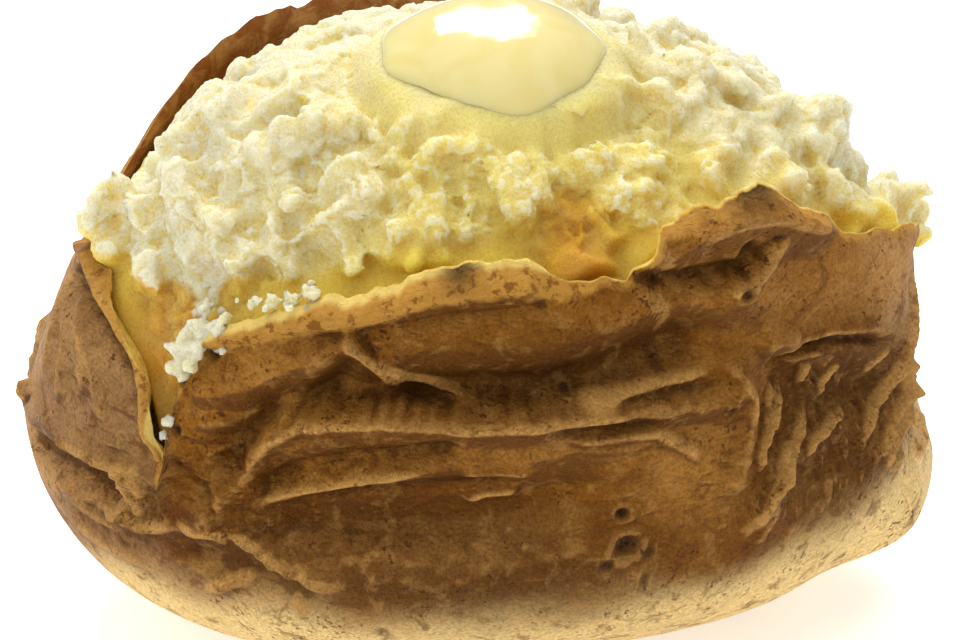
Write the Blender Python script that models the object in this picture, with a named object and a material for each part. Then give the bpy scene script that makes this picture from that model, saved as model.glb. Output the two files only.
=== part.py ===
"""A baked potato that has been cut open on top and squeezed at its ends.

Three solids: the jacket (the leathery skin, a bowl with torn flaps round its mouth), the flesh
(which fills the jacket and rises out of it as a broken mound) and a pat of butter melting on top.

Metres, +Z up. +X runs along the potato, and -Y is the side where the tallest flap stands.
Two lengths place a point on the jacket: `around`, the way along its widest girth from the middle
of the front (positive towards +X), and `height` above the surface that it stands on.
"""

import math

import bmesh
import bpy
import numpy as np
from mathutils import Vector, noise

MM = 0.001

# The whole potato.
HALF_LENGTH = 60.5 * MM
HALF_DEPTH = 42.5 * MM
GIRTH_HEIGHT = 32 * MM
FLAT_DEPTH = 1.1 * MM  # how much of the round bottom the flat spot takes away
TOP_HEIGHT = 84.5 * MM
UNEVEN = 0.8 * MM  # the potato's own lumps
UNEVEN_SIZE = 24 * MM

# The jacket. The powers say how full the bowl under the girth is: 1 is an ellipsoid, less is fuller.
SKIN = 1.5 * MM
WALL_SPAN = 46 * MM  # the height over which the wall above the girth is drawn
WALL_LEAN = 0.10  # how much narrower the wall is at the top of that span
LEFT_END_LEAN = 0.24  # how much more the end at -X leans in
BOWL_POWER = 0.86
LEFT_END_POWER = 0.59
RIGHT_END_POWER = 0.52
RIGHT_END_REACH = 2.5  # more keeps that fullness nearer the end at +X
RELIEF_LEVEL = 0.6  # below this level the folds fade out towards the flat spot
FLAT_LEVEL = 0.02  # below this level the jacket faces straight down
EDGE_ROUND = 0.75  # how many rows the torn edge takes to turn over

# The flesh.
CLEARANCE = 0.3 * MM
STAND_OFF = 1.8 * MM  # how far the flesh draws back from the mouth of the jacket
STAND_OFF_HEIGHT = 9 * MM  # the height below the mouth over which it does so
MOUND_FULLNESS = 2.6  # 2 is an ellipsoid, more is boxier
MOUND_ROW_CROWDING = 1.15  # more crowds the mound's rows towards the mouth
CLUMP_START = 5 * MM  # the height above the mouth over which the clumps grow to full size
CRUMBLY = 1.5 * MM
CRUMBLY_SIZE = 9 * MM

# The butter.
BUTTER_CENTRE = Vector((1, -9, 84.5)) * MM
BUTTER_HALF_WIDTH = 14.2 * MM
BUTTER_HALF_DEPTH = 12.5 * MM
BUTTER_RISE = 3.0 * MM
BUTTER_SINK = 2.4 * MM
BUTTER_TILT = math.radians(11)
BUTTER_EDGE_POWER = 0.8  # less makes the rim of the pat blunter
BUTTER_WAVES = [(3, 0.05, 0.6), (5, 0.03, 0.0)]  # lobes of its outline: how many, size, turn

# Each solid's colour, roughness and subsurface.
JACKET_FINISH = (0.26, 0.13, 0.045), 0.75, 0.0
FLESH_FINISH = (0.80, 0.72, 0.42), 0.5, 0.2
BUTTER_FINISH = (0.87, 0.72, 0.26), 0.15, 0.3
CUTTER_FINISH = (0.5, 0.5, 0.5), 0.5, 0.0

# The meshes: columns round the Z axis, rows from pole to pole. The flesh has the jacket's own
# columns and rows up to the mouth, so that their facets lie along each other.
COLUMNS = 72
WALL_ROWS, MOUND_ROWS = 17, 13
GIRTH_ROW_SHARE = 0.36  # the share of the wall's rows that lie under the girth
FRONT_CROWDING, FRONT_END, FRONT_FADE = 0.6, 100 * MM, 20 * MM  # extra columns along the front
NOTCH_CROWDING, NOTCH_REACH = 3, 5 * MM  # extra columns at the deep cut
TABLE_STEPS = 1201
BUTTER_COLUMNS, BUTTER_ROWS = 24, 8

# The mouth of the jacket, as (around, height) in millimetres: the torn edge of its four flaps.
MOUTH = [
    (-150, 74), (-140, 74), (-128, 73), (-116, 69), (-106, 62.5), (-96, 55), (-89, 49), (-84, 53),
    (-77, 57), (-71, 59.5), (-65.4, 57.5), (-61, 55.6), (-55, 52.3), (-49.2, 47), (-46.6, 42),
    (-45.4, 38), (-44.6, 43), (-44.2, 49.5), (-43, 54), (-37.5, 58), (-23, 63.4), (-7.5, 68),
    (1.4, 68.6), (6.5, 65.8), (13, 65.4), (18.4, 68), (24, 72), (31, 74.6), (34, 74.8),
    (37.2, 73), (41, 70.7), (49, 64.4), (58, 62), (67, 59), (76, 52), (86, 48), (98, 52),
    (112, 57), (126, 61), (140, 66), (152, 71),
]  # fmt: skip
NOTCH = -45.4 * MM  # where the deep cut stands, around the jacket
NEARBY = range(-6, 7, 2)  # millimetres either way that count as near a place on the mouth

# Folds of the jacket: the line of each as (around, height), its half width and how far it stands
# out, all in millimetres. A negative one is a hollow.
FOLDS = [
    ([(-37, 35), (-31.5, 42), (-26, 46), (-22, 47), (-13, 47), (6, 47), (29, 47)], 2.8, 2.8),
    ([(-33, 48), (-22, 54), (-13, 53.5), (-1, 55), (11, 56), (20, 57)], 5.0, -3.4),
    ([(-26, 34), (-13, 34), (-1, 35.5), (8, 37)], 5.5, -3.0),
    ([(-30, 20), (0, 19), (28, 21)], 9.0, 1.6),
    ([(31, 49), (30.5, 42), (30.5, 33)], 4.0, 1.6),
    ([(38, 45), (46, 42), (56, 40)], 8.0, -3.2),
    ([(33, 52), (39, 52), (48, 49.5), (60, 43)], 3.6, 2.0),
    ([(74, 46), (74, 32)], 9.0, -3.0),
    ([(70, 19), (78, 19)], 7.0, 3.2),
    ([(20, 61.5), (26, 61), (33, 61.5)], 3.4, -1.6),
    ([(26, 69), (33, 71), (44, 67)], 5.0, 1.8),
    ([(-40, 57), (-22, 63), (-2, 67)], 4.0, 1.4),
    ([(-66, 31), (-53, 31.5)], 3.4, -1.8),
    ([(-58, 54), (-52, 47), (-47, 40)], 3.0, 1.6),
    ([(100, 46), (125, 50), (150, 46)], 4.0, -2.4),
    ([(-150, 42), (-125, 48), (-100, 40)], 4.0, -2.4),
    ([(110, 34), (140, 37)], 3.6, 2.0),
    ([(-140, 32), (-112, 34)], 3.6, 2.0),
]

# Clumps of the flesh: the middle of each as (x, y, z), its radius and how far it stands out, all in
# millimetres. A negative one is a cleft.
CLUMPS = [
    ((-29, -15, 78), 11, 4.0), ((-36, -16, 73), 7, 2.0), ((-49, -11, 63), 8, 4.0),
    ((-40, -22, 62), 7, 2.5), ((-17, -26, 74), 7, 3.2), ((-11, -26, 77), 3.5, -4.0),
    ((-6, -31, 71), 7, 3.0), ((5, -32, 70), 6, 3.0), ((17, -29, 72), 8, 3.2),
    ((11, -31, 74), 3.5, -3.0), ((35, -16, 74), 14, 4.5), ((27, -28, 68), 4, -3.0),
    ((44, -18, 64), 8, 3.5), ((56, -7, 59), 8, 5.5), ((-21, -31, 66), 6, 2.5),
    ((-30, -27, 63), 4, -2.5), ((-27, 14, 80), 10, -3.5), ((-44, 8, 70), 10, -3.5),
    ((6, 20, 80), 11, 3.0), ((-10, 28, 72), 9, 3.0), ((24, 24, 74), 10, 3.5),
    ((43, 14, 68), 10, 3.5), ((14, 8, 84), 8, 2.0), ((-8, 8, 83), 8, 2.0), ((33, 3, 78), 4, -3.0),
    ((-34, 0, 78), 4, -3.0), ((2, 30, 74), 4, -3.0),
]  # fmt: skip


def clear_scene():
    for obj in list(bpy.data.objects):
        bpy.data.objects.remove(obj, do_unlink=True)


def girth_table():
    """Lengths round the widest girth, and the plan angle that each one reaches."""
    angle = np.linspace(-math.pi, math.pi, 1441)
    x, y = HALF_LENGTH * np.sin(angle), -HALF_DEPTH * np.cos(angle)
    steps = np.hypot(np.diff(x), np.diff(y))
    length = np.concatenate([[0], np.cumsum(steps)])
    return length - length[-1] / 2, angle


GIRTH_LENGTHS, GIRTH_ANGLES = girth_table()
HALF_GIRTH = GIRTH_LENGTHS[-1]


def smooth(share):
    """Eases a share in and out between 0 and 1."""
    share = np.clip(share, 0, 1)
    return share * share * (3 - 2 * share)


def mouth_height(around):
    """The height of the jacket's torn edge."""
    marks = np.array(MOUTH) * MM
    first = marks[:1] + [[2 * HALF_GIRTH, 0]]
    last = marks[-1:] - [[2 * HALF_GIRTH, 0]]
    marks = np.concatenate([last, marks, first])
    return np.interp(around, marks[:, 0], marks[:, 1])


def mouth_nearby(around):
    """The highest that the torn edge gets within a clump's width."""
    return np.max([mouth_height(around + off * MM) for off in NEARBY], axis=0)


def stations(turn):
    """Turns of the ball, from -1 to 1, as lengths round the jacket, closer together along the
    front than the back, and closest at the notch."""
    length = np.linspace(-HALF_GIRTH, HALF_GIRTH, TABLE_STEPS)
    front = FRONT_CROWDING * smooth((FRONT_END - np.abs(length)) / FRONT_FADE)
    density = 1 + front + NOTCH_CROWDING * np.exp(-(((length - NOTCH) / NOTCH_REACH) ** 2))
    reached = np.concatenate([[0], np.cumsum((density[1:] + density[:-1]) / 2)])
    return np.interp(turn, 2 * reached / reached[-1] - 1, length)


def fold_relief(around, height):
    """How far the folds push the wall out, in metres."""
    relief = np.zeros_like(around)
    for line, half_width, rise in FOLDS:
        nearest = np.full_like(around, np.inf)
        marks = np.array(line) * MM
        for start, end in zip(marks[:-1], marks[1:]):
            step = end - start
            share = ((around - start[0]) * step[0] + (height - start[1]) * step[1]) / (step @ step)
            share = np.clip(share, 0, 1)
            off = np.hypot(
                around - start[0] - share * step[0], height - start[1] - share * step[1]
            )
            nearest = np.minimum(nearest, off)
        relief += rise * MM * np.exp(-((nearest / (half_width * MM)) ** 2))
    return relief


def uneven(points, size, amount):
    """Gentle lumps with no direction of their own."""
    return amount * np.array([noise.noise(Vector(p) / size) for p in points])


def plain_wall(around, level):
    """The jacket without folds. Level 0 is the bottom, 1 the girth, and 2 is WALL_SPAN above it."""
    angle = np.interp(around, GIRTH_LENGTHS, GIRTH_ANGLES)
    left, right = np.clip(-np.sin(angle), 0, 1), np.clip(np.sin(angle), 0, 1)
    power = BOWL_POWER + (LEFT_END_POWER - BOWL_POWER) * left
    power += (RIGHT_END_POWER - BOWL_POWER) * right**RIGHT_END_REACH
    bowl = np.clip(level, 0, 1) * math.pi / 2
    above = np.clip(level - 1, 0, None)
    wide = np.sin(bowl) ** power * (1 - WALL_LEAN * above**2 - LEFT_END_LEAN * left**2 * above)
    height = GIRTH_HEIGHT - (GIRTH_HEIGHT + FLAT_DEPTH) * np.cos(bowl) + WALL_SPAN * above
    x, y = HALF_LENGTH * wide * np.sin(angle), -HALF_DEPTH * wide * np.cos(angle)
    return np.stack([x, y, height], axis=1)


def outward(around, level):
    """Unit normals of the plain wall, from its own slopes."""
    step = 1e-3
    low = np.maximum(level - step, 1e-4)
    along = plain_wall(around + step * MM, level) - plain_wall(around - step * MM, level)
    upward = plain_wall(around, level + step) - plain_wall(around, low)
    normal = np.cross(along, upward)
    return normal / np.maximum(np.linalg.norm(normal, axis=1, keepdims=True), 1e-12)


def wall(around, level, inset):
    """Points of the jacket, `inset` inside its outer surface."""
    points = plain_wall(around, level)
    normals = outward(around, level)
    normals[level < FLAT_LEVEL] = (0, 0, -1)
    relief = fold_relief(around, points[:, 2]) + uneven(points, UNEVEN_SIZE, UNEVEN)
    relief *= smooth(level / RELIEF_LEVEL)
    points += normals * (relief - inset)[:, None]
    points[:, 2] = np.maximum(points[:, 2], inset)
    return points


def level_of(height):
    """The level of a height on the wall above the girth."""
    return 1 + (height - GIRTH_HEIGHT) / WALL_SPAN


def ball(columns, rows, diagonals="FIXED"):
    """A ball to be drawn over a shape, with each vertex's turn (-1 to 1 from the back, 0 at -Y)
    and its rise (0 at the bottom pole, 1 at the top)."""
    bm = bmesh.new()
    bmesh.ops.create_uvsphere(bm, u_segments=columns, v_segments=rows, radius=1)
    bmesh.ops.triangulate(bm, faces=bm.faces, quad_method=diagonals)
    points = np.array([v.co for v in bm.verts])
    turn = np.arctan2(points[:, 0], -points[:, 1]) / math.pi
    rise = 1 - np.arccos(np.clip(points[:, 2], -1, 1)) / math.pi
    return bm, turn, rise


def finish(name, bm, points, colour, roughness, subsurface):
    """Moves the ball's vertices to `points` and makes it an object with its own material."""
    for vertex, point in zip(bm.verts, points):
        vertex.co = point
    mesh = bpy.data.meshes.new(name)
    bm.to_mesh(mesh)
    bm.free()
    mesh.shade_smooth()
    obj = bpy.data.objects.new(name, mesh)
    bpy.context.scene.collection.objects.link(obj)
    material = bpy.data.materials.new(name)
    material.use_nodes = True
    shader = material.node_tree.nodes["Principled BSDF"]
    shader.inputs["Base Color"].default_value = (*colour, 1)
    shader.inputs["Roughness"].default_value = roughness
    shader.inputs["Metallic"].default_value = 0
    shader.inputs["Subsurface Weight"].default_value = subsurface
    mesh.materials.append(material)
    return obj


def rows_to_level(share, top):
    """Spreads rows from the bottom pole (0) to the jacket's edge (1), whose level is `top`."""
    bowl = share / GIRTH_ROW_SHARE
    above = 1 + (top - 1) * (share - GIRTH_ROW_SHARE) / (1 - GIRTH_ROW_SHARE)
    return np.where(share < GIRTH_ROW_SHARE, bowl, above)


def make_jacket():
    """A ball pushed in on itself: its lower half is the outside and its upper half the inside.
    The inside is upside down, so only with the other diagonals does it lie along the flesh."""
    bm, turn, rise = ball(COLUMNS, 2 * WALL_ROWS, "ALTERNATE")
    around = stations(turn)
    top = level_of(mouth_height(around))
    share = 1 - np.abs(2 * rise - 1)
    edge_row = EDGE_ROUND / WALL_ROWS
    inside = smooth((rise - 0.5) / edge_row * 0.5 + 0.5)
    points = wall(around, rows_to_level(share, top), inside * SKIN)
    return finish("jacket", bm, points, *JACKET_FINISH)


def mound_share(height):
    """How wide the flesh is at a height, as a share of its widest."""
    above = np.clip((height - GIRTH_HEIGHT) / (TOP_HEIGHT - GIRTH_HEIGHT), 0, 1)
    return (1 - above**MOUND_FULLNESS) ** (1 / MOUND_FULLNESS)


def inside_mound(points, around):
    """Draws points in to the mound's own outline, and a little further under the mouth."""
    near_mouth = smooth((points[:, 2] - mouth_height(around)) / STAND_OFF_HEIGHT + 1)
    most = mound_share(points[:, 2]) - STAND_OFF / HALF_DEPTH * near_mouth
    wide = np.hypot(points[:, 0] / HALF_LENGTH, points[:, 1] / HALF_DEPTH)
    points[:, :2] *= np.minimum(1, np.maximum(most, 0) / np.maximum(wide, 1e-9))[:, None]
    return points


def clump_relief(points):
    """How far the clumps of the broken flesh stand out, in metres."""
    relief = uneven(points, CRUMBLY_SIZE, CRUMBLY)
    for middle, radius, rise in CLUMPS:
        away = np.linalg.norm(points - np.array(middle) * MM, axis=1)
        relief += rise * MM * np.exp(-((away / (radius * MM)) ** 2))
    return relief


def make_flesh():
    """Follows the inside of the jacket up to its mouth, then closes over as the mound."""
    bm, turn, rise = ball(COLUMNS, WALL_ROWS + MOUND_ROWS)
    around = stations(turn)
    edge = mouth_height(around)
    mouth_row = WALL_ROWS / (WALL_ROWS + MOUND_ROWS)
    inset = np.full_like(around, SKIN + CLEARANCE)
    low = wall(around, rows_to_level(np.clip(rise / mouth_row, 0, 1), level_of(edge)), inset)
    climb = np.clip((rise - mouth_row) / (1 - mouth_row), 0, 1)
    height = edge + (TOP_HEIGHT - edge) * np.sin(climb * math.pi / 2) ** MOUND_ROW_CROWDING
    high = wall(around, level_of(height), inset)
    high[:, 2] = height
    points = np.where((rise < mouth_row)[:, None], low, high)
    points = inside_mound(points, around)
    centre = np.array([0, 0, GIRTH_HEIGHT])
    out = points - centre
    out /= np.maximum(np.linalg.norm(out, axis=1, keepdims=True), 1e-9)
    free = smooth((points[:, 2] - mouth_nearby(around)) / CLUMP_START)
    points += out * (clump_relief(points) * free)[:, None]
    return finish("flesh", bm, points, *FLESH_FINISH)


def butter_shape(margin):
    """A pat gone soft: a low dome on a shallower belly, `margin` bigger all round."""
    bm, turn, rise = ball(BUTTER_COLUMNS, BUTTER_ROWS)
    angle = turn * math.pi
    out = np.sin(rise * math.pi) ** BUTTER_EDGE_POWER
    wavy = 1 + sum(size * np.sin(count * angle + turned) for count, size, turned in BUTTER_WAVES)
    x = (BUTTER_HALF_WIDTH + margin) * out * wavy * np.sin(angle)
    y = -(BUTTER_HALF_DEPTH + margin) * out * wavy * np.cos(angle)
    swell = -np.cos(rise * math.pi)
    z = np.where(swell > 0, BUTTER_RISE + margin, BUTTER_SINK + margin) * swell
    tilted_y = y * math.cos(BUTTER_TILT) - z * math.sin(BUTTER_TILT)
    tilted_z = y * math.sin(BUTTER_TILT) + z * math.cos(BUTTER_TILT)
    return bm, np.stack([x, tilted_y, tilted_z], axis=1) + np.array(BUTTER_CENTRE)


def make_butter():
    bm, points = butter_shape(0)
    return finish("butter", bm, points, *BUTTER_FINISH)


def seat_butter(flesh):
    """Cuts the dish that the butter lies in out of the flesh."""
    bm, points = butter_shape(CLEARANCE)
    cutter = finish("butter_seat_cutter", bm, points, *CUTTER_FINISH)
    cutter.hide_render = True
    cutter.display_type = "WIRE"
    cut = flesh.modifiers.new("butter_seat", "BOOLEAN")
    cut.operation = "DIFFERENCE"
    cut.object = cutter
    return cutter


def centre_over_origin(solids, helpers):
    """Puts the middle of the whole object's box over the origin."""
    corners = np.array([v.co for obj in solids for v in obj.data.vertices])
    middle = (corners.min(axis=0) + corners.max(axis=0)) / 2
    for obj in [*solids, *helpers]:
        for vertex in obj.data.vertices:
            vertex.co -= Vector((middle[0], middle[1], 0))


clear_scene()
jacket = make_jacket()
flesh = make_flesh()
butter = make_butter()
seat = seat_butter(flesh)
centre_over_origin([jacket, flesh, butter], [seat])
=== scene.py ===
# %% [markdown]
# # A baked potato, split open, with a pat of butter
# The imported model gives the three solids: the jacket, the flesh and the butter. Each has the right
# place and size, but none has its surface yet. This lesson makes each one again from a bmesh ball
# whose points are moved by formulas, keeps inside the same box, and gives it its finish.

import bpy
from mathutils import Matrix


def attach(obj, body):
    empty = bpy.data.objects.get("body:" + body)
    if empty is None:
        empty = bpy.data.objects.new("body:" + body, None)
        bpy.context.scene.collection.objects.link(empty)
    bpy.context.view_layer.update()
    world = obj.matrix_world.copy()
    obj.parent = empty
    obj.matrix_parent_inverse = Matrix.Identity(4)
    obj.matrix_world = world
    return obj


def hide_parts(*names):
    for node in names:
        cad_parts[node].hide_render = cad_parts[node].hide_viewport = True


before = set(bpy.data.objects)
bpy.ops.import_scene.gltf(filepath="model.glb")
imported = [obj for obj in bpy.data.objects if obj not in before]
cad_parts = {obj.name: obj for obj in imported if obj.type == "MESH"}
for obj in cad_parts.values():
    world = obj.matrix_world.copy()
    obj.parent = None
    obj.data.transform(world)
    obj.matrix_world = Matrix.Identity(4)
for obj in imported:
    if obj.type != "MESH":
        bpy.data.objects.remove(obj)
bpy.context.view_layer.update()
print("nodes:", sorted(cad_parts))

# %% The modules and the unit
import itertools
import math

import bmesh
import bpy
import numpy as np
from mathutils import Vector

MM = 0.001
print("one unit is a metre, so a millimetre is", MM)

# %% [markdown]
# ## The camera
# A long lens from almost half a metre away keeps the potato's near and far sides close in size. It
# looks down by 27 degrees, a little from the left.

# %% Place the camera
VIEW_HEIGHT, VIEW_TURN = math.radians(27), math.radians(-5)
VIEW_DISTANCE = 450 * MM
SENSOR_WIDTH, LENS, NEAREST = 36, 127.3, 20 * MM
VIEW_TARGET = Vector((-0.1, 1.0, 40.8)) * MM


def place_camera():
    away = Vector((math.sin(VIEW_TURN), -math.cos(VIEW_TURN), 0)) * math.cos(VIEW_HEIGHT)
    away.z = math.sin(VIEW_HEIGHT)
    data = bpy.data.cameras.new("camera")
    data.sensor_width, data.lens, data.clip_start = SENSOR_WIDTH, LENS, NEAREST
    camera = bpy.data.objects.new("camera", data)
    camera.location = VIEW_TARGET + away * VIEW_DISTANCE
    camera.rotation_euler = (-away).to_track_quat("-Z", "Y").to_euler()
    bpy.context.scene.collection.objects.link(camera)
    bpy.context.scene.camera = camera
    return camera


print("camera at", place_camera().location)

# %% [markdown]
# ## Where things are on a potato
# Its skin is easiest to describe unrolled: how far `around` the widest girth from the middle of the
# front, and how `high` above the table. These first helpers turn the one into the other. The shape
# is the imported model's own: a full bowl under the girth, and a wall that leans in above it.

# %% The plain shape of the potato
HALF_LENGTH, HALF_DEPTH, GIRTH = 60.5, 42.5, 32.0
WALL_SPAN, FLAT_DEPTH = 46.0, 1.1
BOWL_POWER, LEFT_FULLER, RIGHT_FULLER = 0.86, 0.27, 0.34  # lower powers swell the bowl out sooner
WALL_LEAN, LEFT_LEAN = 0.10, 0.24  # how far the wall leans in, and how much more so at the left
TINY_STEP = 1e-3  # for slopes worked out from two near places
CENTRING = np.array([-0.1, 1.0, 0.0])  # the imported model's box stands over the origin

turns = np.linspace(-math.pi, math.pi, 1441)
turn_steps = np.hypot(np.diff(HALF_LENGTH * np.sin(turns)), np.diff(HALF_DEPTH * np.cos(turns)))
girth_marks = np.concatenate([[0], np.cumsum(turn_steps)])
girth_marks -= girth_marks[-1] / 2
HALF_GIRTH = girth_marks[-1]


def ease(share):
    """From 0 to 1 as the share goes from 0 to 1, with a soft start and end."""
    share = np.clip(share, 0, 1)
    return share * share * (3 - 2 * share)


def plain_wall(around, level):
    """Level 0 is the bottom, 1 the girth, and 2 is WALL_SPAN above it. In millimetres."""
    angle = np.interp(around, girth_marks, turns)
    left, right = np.clip(-np.sin(angle), 0, 1), np.clip(np.sin(angle), 0, 1)
    bowl = np.clip(level, 0, 1) * math.pi / 2
    above = np.clip(level - 1, 0, None)
    wide = np.sin(bowl) ** (BOWL_POWER - LEFT_FULLER * left - RIGHT_FULLER * right**2.5)
    wide = wide * (1 - WALL_LEAN * above**2 - LEFT_LEAN * left**2 * above)
    high = GIRTH - (GIRTH + FLAT_DEPTH) * np.cos(bowl) + WALL_SPAN * above
    x, y = HALF_LENGTH * wide * np.sin(angle), -HALF_DEPTH * wide * np.cos(angle)
    return np.stack([x, y, high], axis=1)


def wall_normals(around, level):
    """Which way the plain wall faces; the pole at its bottom faces straight down."""
    low = np.maximum(level - TINY_STEP, TINY_STEP / 10)
    along = plain_wall(around + TINY_STEP, level) - plain_wall(around - TINY_STEP, level)
    normals = np.cross(along, plain_wall(around, level + TINY_STEP) - plain_wall(around, low))
    normals /= np.maximum(np.linalg.norm(normals, axis=1, keepdims=True), 1e-12)
    normals[level < 0.02] = (0, 0, -1)
    return normals


print("girth of", round(2 * HALF_GIRTH), "mm")

# %% [markdown]
# ## The mouth
# The skin was cut with a knife and then torn wider, so its edge runs up and down: a tall flap on the
# front with a peak, a deep notch at its left, a pointed flap at the left end and a plain wall behind.
# One line of points says how high that edge stands all the way round, and noise frays it.

# %% The edge of the mouth: places around it and how high it stands there
MOUTH = [
    (-150, 74), (-140, 74), (-128, 73), (-116, 69), (-106, 62.5), (-96, 55), (-89, 50), (-84, 53),
    (-77, 57), (-71, 59.5), (-65.4, 57.5), (-61, 55.6), (-55, 52.3), (-49.2, 47), (-46.6, 42),
    (-45.4, 38), (-44.9, 43), (-44.5, 49.5), (-42.6, 54), (-37.5, 58), (-23, 63.4), (-7.5, 68),
    (1.4, 68.6), (6.5, 65.8), (16, 65.4), (18, 67), (19.6, 71), (24, 73), (31, 74.6), (34, 75),
    (37.2, 73), (41, 70.7), (49, 64.4), (58, 62), (67, 59), (76, 52), (86, 48), (98, 52),
    (112, 57), (126, 61), (140, 66), (152, 71),
]  # fmt: skip
FRAYS = [(0.9, 4.5, 3.1), (0.55, 1.7, 8.4)]  # how deep and how long each fraying is, and its seed
print("the peak stands", max(high for _, high in MOUTH), "mm high")

# %% Noise for it, and for every bump to come
LEANS = np.random.default_rng(1).normal(size=(256, 3))
LEANS /= np.linalg.norm(LEANS, axis=1, keepdims=True)


def cell_number(cell):
    """A scrambled number from 0 to 255 for each cell of a grid, the same in every run."""
    mixed = cell[:, 0] * 73856093 ^ cell[:, 1] * 19349663 ^ cell[:, 2] * 83492791
    return ((mixed ^ (mixed >> 13)) * 1274126177 >> 7) & 255


def cloudy(points):
    """Smooth noise from about -1 to 1 at many points at once: a random slope at each corner of a
    grid of unit cells, blended across the cell."""
    cell = np.floor(points).astype(np.int64)
    part = points - cell
    blend = part**3 * (part * (part * 6 - 15) + 10)
    total = np.zeros(len(points))
    for corner in itertools.product((0, 1), repeat=3):
        slope = np.einsum("ij,ij->i", LEANS[cell_number(cell + corner)], part - corner)
        total += slope * np.prod(np.where(corner, blend, 1 - blend), axis=1)
    return total * 1.6


def lumps(points, size, seed):
    """Noise with bumps of about `size` millimetres; the seed picks another part of it."""
    return cloudy(points / size + np.array([seed, seed * 0.37, 0.5]))


def wander(along, size, seed):
    """The same noise along one line."""
    return lumps(np.stack([along, 0 * along, 0 * along], axis=1), size, seed)


def mouth_height(around):
    """How high the mouth's edge stands; the table goes once round and joins itself."""
    marks = np.array(MOUTH)
    lap = np.array([[2 * HALF_GIRTH, 0]])
    marks = np.concatenate([marks[-1:] - lap, marks, marks[:1] + lap])
    return np.interp(around, marks[:, 0], marks[:, 1])


def frayed_mouth(around):
    fade = ease((HALF_GIRTH - np.abs(around)) / 6)
    return mouth_height(around) + fade * sum(deep * wander(around, long, seed) for deep, long, seed in FRAYS)


print("frayed by up to", sum(deep for deep, _, _ in FRAYS), "mm")

# %% [markdown]
# ## Folds
# A baked skin dries, shrinks and creases. Each crease here is a stroke: a line of points on the
# unrolled skin, a half width and a rise, all in millimetres. A soft stroke has a round section and a
# sharp one has a crest like a pinch of leather, whose ends taper away as a real crease's do.

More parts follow.
